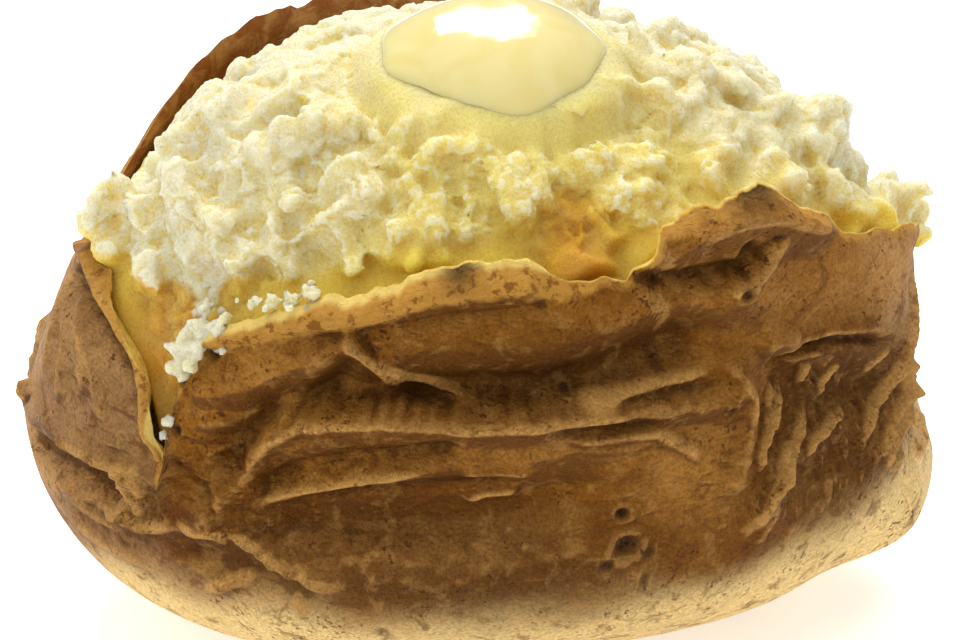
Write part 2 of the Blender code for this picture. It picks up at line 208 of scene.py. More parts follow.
# %% The strokes
SOFT, SHARP = 2.0, 1.0  # the power in a stroke's section: a bell, or a peak
FOLDS = [
    # The long shelf across the front, and the hollow over it.
    ([(-38, 32.5), (-36, 35), (-34, 37.5), (-32, 41), (-30, 44), (-26, 46.8), (-22, 47.6), (-16, 48.2),
      (-5, 47.8), (5, 48), (13, 48.5), (28, 48)], 1.9, 1.7, SOFT),
    ([(-38.5, 32), (-36, 35), (-34, 37.5), (-32, 41), (-30, 44), (-26, 46.8), (-22, 47.6), (-16, 48.2),
      (-5, 47.8), (5, 48), (15, 48.6), (22, 48.4), (29, 47.4)], 0.55, 1.0, SHARP),
    ([(-35.5, 40), (-33, 44), (-30, 47.5), (-25, 50.5), (-17, 51.5), (-7, 51.5), (6, 51.8),
      (14, 53.5), (22, 56)], 3.6, -3.6, SOFT),
    ([(-24, 49.4), (-16, 50), (-5, 49.7), (5, 50)], 0.8, -1.2, SHARP),
    ([(-13, 51), (0, 51), (8, 51.5)], 2.2, -1.2, SOFT),
    ([(6, 49.4), (12, 50.2), (20, 51.3), (28, 52.3)], 0.7, 1.2, SHARP),
    ([(12, 49.4), (20, 50), (27, 50)], 0.6, -1.0, SHARP),
    ([(3, 46.4), (11, 46.9), (20, 47)], 0.8, -1.3, SHARP),
    ([(5, 45), (13, 45.6), (18.5, 45.3), (22.5, 42.4), (25, 38)], 0.8, 1.2, SHARP),
    # The second crease under the shelf, and the broad hollow under that.
    ([(-33.5, 33.8), (-30, 36), (-24, 38.3), (-18, 40.4), (-13.5, 41.2), (-8, 42)], 0.6, 1.5, SHARP),
    ([(-31, 38), (-26, 41), (-20, 43), (-13, 44), (-8, 44.5)], 1.5, -1.8, SOFT),
    ([(-28, 35.5), (-22, 37.2), (-15, 38.8), (-7, 39.8), (-1, 39.6), (4, 38.8)], 0.8, -1.3, SHARP),
    ([(-7, 41.2), (-1, 41.2), (4, 40.6)], 0.6, 0.8, SHARP),
    ([(-6, 36.2), (-3, 37.6), (2, 37.7)], 0.6, 1.1, SHARP),
    ([(-26, 34), (-13, 34.5), (-1, 35.5), (7, 37)], 4.6, -2.8, SOFT),
    ([(-30, 19), (0, 18), (26, 20)], 8.0, 1.6, SOFT),
    # The upper left of the front flap.
    ([(-21, 60), (-17, 55.5), (-15.4, 52.3), (-13, 50.2)], 0.8, 1.7, SHARP),
    ([(-19.6, 60), (-16, 55.8), (-14.4, 53)], 0.7, -1.4, SHARP),
    ([(-18, 60), (-15.6, 55.4), (-13.6, 52.6), (-8.6, 50.8), (-3, 49.4), (0, 48.6)], 0.7, 1.5, SHARP),
    ([(-13.8, 50.4), (-10, 49.6), (-6, 49)], 0.7, -1.0, SHARP),
    ([(-20, 58), (-24.4, 54.4), (-28.5, 47.8), (-31, 44), (-33.5, 41)], 1.4, 1.3, SOFT),
    ([(-21, 55), (-23.5, 51), (-27, 49)], 1.6, -1.3, SOFT),
    ([(-40, 48.5), (-34, 50), (-29, 52.5), (-24, 56)], 1.8, 1.2, SOFT),
    ([(-42, 44), (-36, 45), (-31, 48)], 1.0, 0.7, SHARP),
    ([(-40, 40), (-35, 41.5)], 0.9, 0.6, SHARP),
    ([(-41, 55), (-32, 59), (-23, 61), (-8, 65), (2, 65.5)], 2.2, 1.6, SOFT),
    ([(-40, 53), (-31, 57), (-22, 59), (-8, 62), (4, 63)], 1.0, -0.7, SOFT),
    # The peak, folded outwards, with the crease that it hangs over.
    ([(20, 68.5), (26, 70.5), (33, 71.5), (42, 68)], 3.2, 2.4, SOFT),
    ([(20, 67.6), (24, 70), (29, 71), (35, 70.6), (42, 67.5), (48, 64.5)], 0.7, 0.9, SHARP),
    ([(17, 65.2), (22, 65), (27, 64.4), (31, 64.5), (33.5, 66)], 1.3, -1.9, SOFT),
    ([(27, 61.8), (31.5, 62.2), (34.8, 64), (36.8, 66.5), (37, 68.5)], 0.7, 1.4, SHARP),
    ([(20, 61), (27, 60.5), (33, 60)], 3.0, 1.0, SOFT),
    # The corner between the front and the right hand side, and the arch over its hollow.
    ([(29, 51.4), (31.2, 47.5), (31.2, 42), (29, 36.5)], 1.5, 1.3, SOFT),
    ([(28.5, 51.6), (31.3, 47.6), (31.2, 43)], 0.6, 0.8, SHARP),
    ([(35, 53.5), (38, 53)], 1.6, 1.4, SOFT),
    ([(33, 49.8), (38, 50), (42, 50.6), (46, 50.4), (52, 48.6), (59, 45)], 0.8, -2.0, SHARP),
    ([(32.5, 51), (37.7, 51.6), (44.4, 52), (52, 50.2), (60, 46)], 0.8, 1.2, SHARP),
    ([(38, 48.8), (42, 49), (46, 48.8)], 0.6, 1.0, SHARP),
    ([(39, 46), (46, 43), (54, 40)], 5.6, -3.4, SOFT),
    ([(36, 38), (44, 33)], 5.0, -1.6, SOFT),
    # Fine upright pinches in that hollow.
    ([(39.5, 46.5), (36.5, 42.5), (34, 39.5), (32.5, 35)], 0.6, 1.5, SHARP),
    ([(43.5, 43.5), (41, 39.5), (38, 35.5), (35, 33), (31, 28.5)], 0.6, 1.5, SHARP),
    ([(51, 39), (46.5, 38.4), (43, 37), (41, 34)], 0.6, 1.4, SHARP),
    ([(49, 46.5), (46.5, 44), (46, 41)], 0.6, 1.1, SHARP),
    ([(43, 48), (42, 44.5)], 0.6, 1.1, SHARP),
    ([(37, 47), (35.5, 44), (35.5, 41)], 0.6, 1.1, SHARP),
    ([(38.5, 39), (37, 36), (36.5, 32)], 0.6, 1.1, SHARP),
    ([(64, 42), (60, 41), (57, 38), (53.5, 35.8), (50, 33)], 0.6, 1.4, SHARP),
    ([(63, 35), (57, 32.5), (54, 28.5)], 0.6, 1.3, SHARP),
    ([(66, 38), (60, 36.2), (56, 33.5), (52, 30.5)], 0.6, 1.1, SHARP),
    ([(58, 46), (55, 43.5), (53, 42.5)], 0.6, 1.1, SHARP),
    ([(60, 30), (56.5, 28)], 0.6, 0.9, SHARP),
    ([(36, 31.5), (34, 29), (31.5, 26.5)], 0.6, 0.7, SHARP),
    ([(33, 31.5), (29.5, 28.5)], 0.6, 0.6, SHARP),
    ([(45, 31.5), (44.5, 28)], 0.6, 0.5, SHARP),
    # The right hand end: drawn in above, with a bulge under it and an upright pinch at its side.
    ([(74, 48), (74, 32)], 9.0, -3.9, SOFT),
    ([(68, 17), (78, 18)], 7.5, 3.6, SOFT),
    ([(73, 55), (66, 48), (61, 43), (63, 36), (60, 31)], 1.0, 1.5, SHARP),
    ([(64, 27), (72, 25.5), (79, 27)], 1.4, 1.8, SHARP),
    ([(66, 62), (74, 57)], 3.5, 1.2, SOFT),
    # The left hand flap: its rolled border, and the lines that fan down from its tip.
    ([(-82, 50), (-76, 52.3), (-70, 53.2), (-61.5, 52), (-56, 49.8), (-52.5, 48), (-51, 46), (-48, 41)],
     0.8, -2.4, SHARP),
    ([(-80, 35.5), (-77.5, 33.5)], 1.1, 1.4, SHARP),
    ([(-76, 56), (-69, 56.5), (-62, 54.5), (-57, 52.3), (-53, 50.2), (-49.5, 46), (-47, 41)],
     1.3, 1.6, SOFT),
    ([(-79, 54), (-75, 47), (-72, 38)], 0.9, 0.8, SHARP),
    ([(-75, 52), (-69, 46), (-66, 37)], 0.8, 0.7, SHARP),
    ([(-72, 54), (-64, 48), (-60, 40)], 0.9, 0.8, SHARP),
    ([(-67, 51), (-60, 45), (-55, 38)], 0.8, 0.6, SHARP),
    # The drawn-in spot low on the left, with pinches running into it.
    ([(-74, 29), (-65, 31), (-58, 31), (-53, 31.5)], 2.2, -2.6, SOFT),
    ([(-68, 33), (-60, 34.5), (-53, 34.6), (-48, 35)], 1.0, 1.1, SHARP),
    ([(-53, 32), (-49, 34), (-46.5, 32.5)], 0.6, 1.4, SHARP),
    ([(-53, 31.5), (-49, 31.5), (-47, 29.8)], 0.6, 1.3, SHARP),
    ([(-53, 31), (-50.5, 28)], 0.6, 1.1, SHARP),
    ([(-54, 32), (-51, 35.5), (-47, 36.5)], 0.6, 1.1, SHARP),
    ([(-57, 27), (-50, 28.3), (-45.5, 29), (-41, 30)], 0.7, 1.2, SHARP),
    ([(-37, 32.8), (-33, 30.3), (-29, 27.3), (-24.5, 25.4), (-19, 25.8)], 0.6, 1.2, SHARP),
    ([(-43, 30.2), (-36.7, 30.8), (-34.4, 29.4)], 0.6, 1.1, SHARP),
    ([(-41.4, 20.2), (-35, 24.3), (-30.5, 27)], 0.6, 1.1, SHARP),
    ([(-27.3, 23.7), (-26, 20.8)], 0.6, 1.0, SHARP),
    ([(-40, 26), (-33, 26.8), (-26, 24)], 1.6, -1.0, SOFT),
    ([(-43, 38), (-40, 36.5), (-37, 34)], 0.8, -0.9, SOFT),
    ([(-66, 23), (-56, 21), (-48, 22)], 1.2, 0.8, SHARP),
    # The back: a few creases of the same kinds.
    ([(100, 46), (125, 50), (150, 46)], 4.0, -2.4, SOFT),
    ([(-150, 42), (-125, 48), (-100, 40)], 4.0, -2.4, SOFT),
    ([(98, 40), (118, 42), (146, 39)], 1.2, 1.6, SHARP),
    ([(-146, 36), (-122, 40), (-98, 33)], 1.2, 1.6, SHARP),
    ([(110, 34), (140, 37)], 3.6, 2.0, SOFT),
    ([(-140, 32), (-112, 34)], 3.6, 2.0, SOFT),
    ([(92, 44), (98, 36), (96, 28)], 1.0, 1.2, SHARP),
    ([(-88, 42), (-92, 34), (-88, 26)], 1.0, 1.2, SHARP),
    ([(128, 56), (134, 50)], 1.0, 1.0, SHARP),
]  # fmt: skip


def off_line(around, high, line):
    """How far each point is from a line, and how far along it its nearest place is, 0 to 1."""
    marks = np.array(line, float)
    lengths = np.linalg.norm(np.diff(marks, axis=0), axis=1)
    off, along, passed = np.full_like(around, np.inf), np.zeros_like(around), 0.0
    for start, step, length in zip(marks[:-1], np.diff(marks, axis=0), lengths):
        share = ((around - start[0]) * step[0] + (high - start[1]) * step[1]) / length**2
        share = np.clip(share, 0, 1)
        away = np.hypot(around - start[0] - share * step[0], high - start[1] - share * step[1])
        nearer = away < off
        off = np.where(nearer, away, off)
        along = np.where(nearer, (passed + share * length) / lengths.sum(), along)
        passed += length
    return off, along


FOLD_DEPTH = 1.3  # every fold is this many times as deep as its stroke says
FOLD_REACH = 3.5  # the half widths after which a stroke is too faint to work out
BLUNT = 0.4  # how round the crest of a sharp stroke is, in millimetres


def fold_relief(around, high, kind):
    """How far the folds of one kind push the skin out."""
    relief = np.zeros_like(around)
    for line, half_width, rise, its_kind in FOLDS:
        if its_kind != kind:
            continue
        low, far = np.min(line, axis=0), np.max(line, axis=0)
        reach = FOLD_REACH * half_width
        near = (around > low[0] - reach) & (around < far[0] + reach)
        near &= (high > low[1] - reach) & (high < far[1] + reach)
        if not near.any():
            continue
        off, along = off_line(around[near], high[near], line)
        if kind == SHARP:
            off = np.hypot(off, BLUNT) - BLUNT
            rise = rise * (ease(4 * along) * ease(4 * (1 - along)))
        relief[near] += rise * np.exp(-((off / half_width) ** kind))
    return relief * FOLD_DEPTH


print(len(FOLDS), "folds")

# %% [markdown]
# ## Crinkles
# Between the folds the skin is crumpled like thin paper. Ridged noise gives it: lines where the
# noise crosses zero stand up as crests. It is stretched along the front, and upright on the right,
# which is how the skin shrank there, and it fades out on the tight belly.

# %% Crinkle fields
RIDGE_WIDTH = 3.2  # higher is narrower


def ridged(points, stretch, seed, octaves=3):
    """Crests from 0 to 1, with spacing set by `stretch` in millimetres along each axis."""
    scaled = points / np.array(stretch) + seed
    total, weight = np.zeros(len(points)), 0.0
    for octave in range(octaves):
        share = 0.5**octave
        total += share * (1 - np.minimum(1, RIDGE_WIDTH * np.abs(cloudy(scaled * 2**octave))))
        weight += share
    return total / weight


def spot(around, high, middle, reach):
    """1 at a place on the unrolled skin, fading to 0 over `reach` both ways."""
    return np.exp(-(((around - middle[0]) / reach[0]) ** 2) - ((high - middle[1]) / reach[1]) ** 2)


def spots(around, high, places):
    """Several spots added up, each given as its strength, its middle and its reach."""
    return sum(strength * spot(around, high, middle, reach) for strength, middle, reach in places)


LOOSE_SKIN = [(0.75, (45, 38), (20, 13)), (0.75, (-52, 28), (14, 11)), (0.4, (-28, 37), (14, 9)),
              (0.3, (-72, 45), (14, 14))]  # fmt: skip
LEAST_LOOSE = 0.30


def crinkle_relief(around, high, points):
    """How far the crinkles push the skin out: upright ones on the right, level ones elsewhere."""
    bent = points + 2.2 * np.stack([lumps(points, 9, s) for s in (11, 23, 37)], axis=1)
    upright = ease((around - 27) / 8) * ease((95 - around) / 20)
    level = ridged(bent, (11, 11, 3.6), 5.0)
    standing = ridged(bent + 0.35 * bent[:, 2:3] * [1, 0, 0], (3.0, 3.0, 13), 9.0)
    fine = ridged(bent, (2.6, 2.6, 2.0), 17.0, 2)
    tight = ease((high - 14) / 14)
    loose = LEAST_LOOSE + spots(around, high, LOOSE_SKIN)
    loose *= 1 - 0.85 * ease((np.abs(around) - 62) / 10)
    crests = level * (1 - upright) + standing * upright
    return ((1.15 - 0.5 * upright) * crests + 0.40 * fine - 0.5) * loose * (0.25 + 0.75 * tight)


print("crinkles ready, in", len(LOOSE_SKIN), "loose places")

# %% Eyes, the dark pits that a potato sprouts from: place, radius and depth
EYES = [
    (14, 34.5, 1.1, 0.9), (14.6, 30, 2.0, 1.4), (17.2, 29, 1.1, 0.9), (17, 25, 0.9, 0.8),
    (12, 27.5, 1.0, 0.5), (32, 66.7, 1.7, 1.5), (30.6, 61.5, 1.4, 0.9), (35.8, 67.5, 0.8, 0.6),
    (-39.5, 53.5, 1.5, 0.7), (-43.6, 49, 0.9, 0.8), (-43.4, 42.6, 1.0, 0.8), (28, 46.8, 0.8, 0.6),
    (7.5, 50.5, 0.7, 0.6), (-100, 44, 1.8, 1.2), (118, 30, 1.8, 1.2), (146, 52, 1.6, 1.0),
    (-132, 28, 1.6, 1.0), (84, 33, 1.4, 1.0),
]  # fmt: skip
EYE_WIDER, EYE_SHARE = 1.15, 0.62  # how much wider than high, and the pit's share of the radius


def eye_marks(around, high):
    """How deep the eyes are at each point, and how dark they make it."""
    depth, dark = np.zeros_like(around), np.zeros_like(around)
    for middle, up, radius, deep in EYES:
        off = np.hypot((around - middle) / EYE_WIDER, high - up) / (EYE_SHARE * radius)
        pit, lip = np.exp(-(off**2) * 1.4), np.exp(-((off - 1.5) ** 2) * 4)
        depth += deep * (pit - 0.35 * lip)
        dark = np.maximum(dark, np.exp(-(off**3) * 0.8))
    return depth, dark


print(len(EYES), "eyes")

# %% [markdown]
# ## The jacket's mesh
# The skin is a bowl with two sides and a torn edge. A ball can be pushed in on itself like a
# punctured football: its lower rows become the outside, its upper rows the inside, and the row
# between them the edge. That gives one closed shell with no seam at the edge to close. The ball
# itself is a grid rolled up and merged along its seam and poles, which is quick for fine ones.

# %% A ball to draw over a shape
def ball(columns, rows):
    """A bmesh ball, and for each vertex its turn, -1 to 1 with 0 in front, and its rise, 0 to 1."""
    bm = bmesh.new()
    bmesh.ops.create_grid(bm, x_segments=columns, y_segments=rows, size=1)
    for vertex in bm.verts:
        turn, rise = vertex.co.x * math.pi, (vertex.co.y + 1) / 2 * math.pi
        wide = math.sin(rise)
        vertex.co = (wide * math.sin(turn), -wide * math.cos(turn), -math.cos(rise))
    bmesh.ops.remove_doubles(bm, verts=bm.verts, dist=2e-5)
    points = np.array([v.co for v in bm.verts])
    turn = np.arctan2(points[:, 0], -points[:, 1]) / math.pi
    rise = 1 - np.arccos(np.clip(points[:, 2], -1, 1)) / math.pi
    return bm, turn, rise


FRONT_CROWDING, NOTCH_CROWDING, NOTCH_AT = 1.6, 2.0, -45


def stations(turn):
    """Where a ball's columns stand around the potato: closer together on the front and the notch."""
    length = np.linspace(-HALF_GIRTH, HALF_GIRTH, 2401)
    density = 1 + FRONT_CROWDING * ease((100 - np.abs(length)) / 20)
    density += NOTCH_CROWDING * np.exp(-(((length - NOTCH_AT) / 5) ** 2))
    reached = np.concatenate([[0], np.cumsum((density[1:] + density[:-1]) / 2)])
    return np.interp(turn, 2 * reached / reached[-1] - 1, length)


def level_of(high):
    """The level at which the wall is this high."""
    return 1 + (high - GIRTH) / WALL_SPAN


def draw(bm, points):
    """Moves a bmesh's vertices to these points."""
    for vertex, point in zip(bm.verts, points):
        vertex.co = point


print("a ball of 8 by 4 has", len(ball(8, 4)[0].verts), "vertices")

# %% Reading and writing a mesh
def points_of(mesh):
    flat = np.empty(len(mesh.vertices) * 3, np.float32)
    mesh.vertices.foreach_get("co", flat)
    return flat.reshape(-1, 3).astype(float)


def place_points(mesh, points):
    mesh.vertices.foreach_set("co", points.astype(np.float32).ravel())
    mesh.update()


def normals_of(mesh):
    flat = np.empty(len(mesh.vertices) * 3, np.float32)
    mesh.vertices.foreach_get("normal", flat)
    return flat.reshape(-1, 3).astype(float)


def edges_of(mesh):
    flat = np.empty(len(mesh.edges) * 2, np.int32)
    mesh.edges.foreach_get("vertices", flat)
    return flat.reshape(-1, 2)


def relaxed(points, edges, rounds):
    """Each point moved towards its neighbours' middle, over and over."""
    count = np.bincount(edges.ravel(), minlength=len(points))[:, None]
    for _ in range(rounds):
        total = np.stack([
            np.bincount(edges[:, 0], points[edges[:, 1], k], len(points))
            + np.bincount(edges[:, 1], points[edges[:, 0], k], len(points))
            for k in range(3)
        ], axis=1)  # fmt: skip
        points = 0.5 * points + 0.5 * total / count
    return points


print("a mesh can now be read as arrays and relaxed")

# %% Objects and pieces
def loose_object(name, bm):
    """An object in the scene from a bmesh, which it uses up."""
    mesh = bpy.data.meshes.new(name)
    bm.to_mesh(mesh)
    bm.free()
    return object_of(name, mesh)


def object_of(name, mesh):
    made = bpy.data.objects.new(name, mesh)
    bpy.context.scene.collection.objects.link(made)
    return made


def add_marks(mesh, marks):
    """Stores one number per point under each name, for the finishes to read."""
    for label, values in marks.items():
        layer = mesh.attributes.new(label, "FLOAT", "POINT")
        layer.data.foreach_set("value", np.asarray(values, np.float32))


def as_piece(piece, marks):
    """Shades an object, marks its points and lets it ride on the root body."""
    piece.data.shade_smooth()
    add_marks(piece.data, marks)
    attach(piece, "root")
    return piece


def piece_from_pile(name, pile, marks):
    """A piece from an object made in millimetres, which it takes the place of."""
    mesh = pile.data.copy()
    place_points(mesh, (points_of(mesh) + CENTRING) * MM)
    bpy.data.objects.remove(pile)
    return as_piece(object_of(name, mesh), marks)


def ranges(marks):
    return {label: (round(float(v.min()), 2), round(float(v.max()), 2)) for label, v in marks.items()}


print("an object can now be made a piece")

# %% [markdown]
# ## The jacket
# The colours of baked skin follow places as much as shapes: the belly is pale and the torn edge is tanned,
# and the hollows get painted shade and some raised places painted light. They could be painted on a picture,
# but numbers stored on the mesh's points need no picture and stay with the surface. So the shape comes with
# marks, for the finish to read.

# %% Where its colours lie: strength, place on the unrolled skin, and reach
# Painted shade: spots where the skin is darkened because its hollows and the low front lie in shade.
SHADE = [
    (1.3, (46, 38), (14, 12)), (0.7, (-52, 28), (15, 8)), (0.5, (8, 26), (34, 7)), (0.9, (-11, 27), (24, 8)),
    (0.7, (52, 36), (13, 9)), (0.5, (8, 50), (14, 5)), (0.8, (-18, 32), (24, 6)), (0.6, (-4, 55), (26, 7)),
    (0.35, (12, 52), (12, 9)), (0.5, (13, 49), (9, 4)),
]  # fmt: skip
# Painted light: spots where the skin is made paler because raised parts there catch the light.
PAINTED_LIGHT = [
    (1, (-30, 53), (10, 5)), (1, (24, 38), (8, 8)), (0.6, (40, 58), (12, 6)), (1, (32, 68), (11, 6)),
    (1, (60, 57), (12, 6)), (0.6, (2, 44), (28, 3)),
]  # fmt: skip
SCORCH = [(1, (33, 75), (7, 2.6)), (1, (-6.5, 68), (2.5, 2))]
TORN = [(1, (78, 50), (10, 4.5))]
BELLY, BELLY_CHANGE = 17, 6  # how high the pale underside reaches in front; less at the left, more right


def skin_marks(around, points, edge, dark, outer):
    """What the finish has to know about each place, mostly about the outer side."""
    high = points[:, 2]
    wobble = 6 * lumps(points, 13, 9.0)
    front = ease((around + 47) / 4) * ease((60 - around) / 14) * ease((high - 15 + wobble) / 7)
    belly = BELLY - BELLY_CHANGE * ease((-30 - around) / 20) * ease((around + 150) / 40)
    belly += BELLY_CHANGE * ease((around - 30) / 25) * ease((150 - around) / 40)
    outer_marks = {
        "stroke": fold_relief(around, high, SHARP),
        "dark": np.clip(dark + spots(around, high, SCORCH), 0, 1),
        "front": front,
        "torn": spots(around, high, TORN),
        "painted_light": np.clip(spots(around, high, PAINTED_LIGHT), 0, 1),
        "shade": np.clip(spots(around, high, SHADE), 0, 1.2),
        "pale": 1 - ease((high + wobble * 0.8 - belly) / 11),
    }
    marks = {label: values * outer for label, values in outer_marks.items()}
    marks["lining"] = np.where(outer, 0.0, 1.0)
    marks["edge"] = edge - high + 3 * ease((around - 3) / 8) + 3 * ease((-47 - around) / 3)
    marks["golden"] = ease((92 - np.abs(around)) / 8)
    return marks


print(len(SHADE), "shaded and", len(PAINTED_LIGHT), "glowing places")

# %% Shape the jacket
SKIN = 1.5
EDGE_BAND = 2.4  # the strip under the edge that the knife left slanting
COLUMNS = 460
ROWS = 205
OUTSIDE = 0.8  # the share of the rows that are on the outside
BOWL_ROWS = 0.30  # the share of the outside rows that are under the girth
EDGE_HALF = 0.7  # half the thickness of the edge
EXTRA_LINING, THICKER_BELOW = 1.3, 2.2  # more thickness: dried flesh in front, and further down


def skin_relief(around, points):
    """Broad relief, fine relief and the darkness of the eyes."""
    high = points[:, 2]
    uneven = 0.8 * lumps(points, 24, 0)
    tight = ease(high / 12)
    depth, dark = eye_marks(around, high)
    coarse = (fold_relief(around, high, SOFT) + uneven) * tight
    fine = fold_relief(around, high, SHARP) + crinkle_relief(around, high, points)
    return coarse, fine * tight - depth, dark


def lining_width(around):
    """The front flap keeps a layer of dried flesh on its inner side."""
    return SKIN + EXTRA_LINING * ease((around + 46) / 3) * ease((84 - around) / 8)


def jacket_shape():
    bm, turn, rise = ball(COLUMNS, ROWS)
    around = stations(turn)
    edge = frayed_mouth(around)
    top = level_of(edge)
    out_share, in_share = rise / OUTSIDE, np.clip((rise - OUTSIDE) / (1 - OUTSIDE), 0, 1)
    rising = 1 + (top - 1) * (out_share - BOWL_ROWS) / (1 - BOWL_ROWS)
    level = np.where(out_share < BOWL_ROWS, out_share / BOWL_ROWS, rising)
    inner = rise > OUTSIDE
    level = np.where(inner, top * (1 - in_share**1.7), level)
    points = plain_wall(around, level)
    normals = wall_normals(around, level)
    coarse, fine, dark = skin_relief(around, points)
    slant = ease((points[:, 2] - edge + EDGE_BAND) / EDGE_BAND)
    thick = SKIN + (lining_width(around) - SKIN) * ease((points[:, 2] - edge + 7) / 5)
    thick = thick + THICKER_BELOW * ease((edge - points[:, 2] - 6) / 6)
    inside = EDGE_HALF + (thick - EDGE_HALF) * ease(in_share / 0.12)
    inset = np.where(inner, inside, EDGE_HALF * slant**2)
    relief = coarse + np.where(inner, np.minimum(0.2 * fine, fine), (1 - 0.5 * slant) * fine)
    points = points + normals * (relief - inset)[:, None]
    points[:, 2] = np.maximum(points[:, 2], np.where(inner, inset, 0))
    marks = skin_marks(around, points, edge, dark, ~inner)
    return bm, points, marks, wall_normals(around, np.maximum(level, 0.5))


bm, points, marks, outward = jacket_shape()
draw(bm, (points + CENTRING) * MM)
jacket = as_piece(loose_object("jacket_skin", bm), marks)
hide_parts("jacket")
print("jacket:", len(jacket.data.polygons), "faces")

# %% What its surface knows: crests, valleys and slopes
outer = 1 - marks["lining"]


def standing_out(rounds):
    """How far each point stands out from its smoothed neighbourhood."""
    off = points - relaxed(points, edges_of(jacket.data), rounds)
    return np.einsum("ij,ij->i", off, outward) * outer


# These marks are for painted light and shade: the finish makes crests, rises and slopes facing up paler, and
# valleys and slopes facing down darker.
facing_up = (normals_of(jacket.data) - outward)[:, 2] * outer
relief_marks = {"crest": standing_out(4), "rise": standing_out(50), "tilt": facing_up}
add_marks(jacket.data, relief_marks)
print(ranges(relief_marks))

# %% [markdown]
# ## The flesh
# A potato's flesh is made of cells that come apart when it is cooked, so it breaks into crumbly
# clumps with clefts between. A mound could be sculpted by hand, but code can pile it up: a core that
# follows the jacket, big clumps put in place, and small ones scattered, fused by a voxel remesh.

# %% The core that fills the jacket
TOP = 82.0
MOUND_FULLNESS = 2.6
CORE_INSET, DEEPER_BELOW = 2.1, 2.6
MOUTH_ROW = 0.56  # the share of the core's rows that are under the mouth
CORE_BOWL_ROWS = 0.36  # the share of those that are under the girth


def wall_inside(around, level, inset):
    """The jacket's inner side, followed at a distance that grows under the rim."""
    points = plain_wall(around, level)
    high = points[:, 2]
    deep = DEEPER_BELOW * ease((mouth_height(around) - high - 1.5) / 6)
    relief = np.minimum(fold_relief(around, high, SOFT), 1.5) + 0.8 * lumps(points, 24, 0)
    points += wall_normals(around, level) * (relief * ease(high / 12) - inset - deep)[:, None]
    points[:, 2] = np.maximum(points[:, 2], inset)
    return points


def flesh_core():
    bm, turn, rise = ball(180, 110)
    around = stations(turn)
    edge = mouth_height(around)
    share = np.clip(rise / MOUTH_ROW, 0, 1)
    rising = 1 + (level_of(edge) - 1) * (share - CORE_BOWL_ROWS) / (1 - CORE_BOWL_ROWS)
    low = np.where(share < CORE_BOWL_ROWS, share / CORE_BOWL_ROWS, rising)
    climb = np.clip((rise - MOUTH_ROW) / (1 - MOUTH_ROW), 0, 1)
    high = edge + (TOP - edge) * np.sin(climb * math.pi / 2) ** 1.15
    over = wall_inside(around, level_of(high), CORE_INSET)
    over[:, 2] = high
    under = wall_inside(around, low, CORE_INSET)
    points = np.where((rise < MOUTH_ROW)[:, None], under, over)
    above = np.clip((points[:, 2] - GIRTH) / (TOP - GIRTH), 0, 1)
    most = (1 - above**MOUND_FULLNESS) ** (1 / MOUND_FULLNESS)
    most -= 0.085 * ease((points[:, 2] - edge) / 9 + 1)
    wide = np.hypot(points[:, 0] / HALF_LENGTH, points[:, 1] / HALF_DEPTH)
    points[:, :2] *= np.minimum(1, np.maximum(most, 0) / np.maximum(wide, 1e-9))[:, None]
    draw(bm, points)
    return bm


core = flesh_core()
print("core:", len(core.verts), "points")

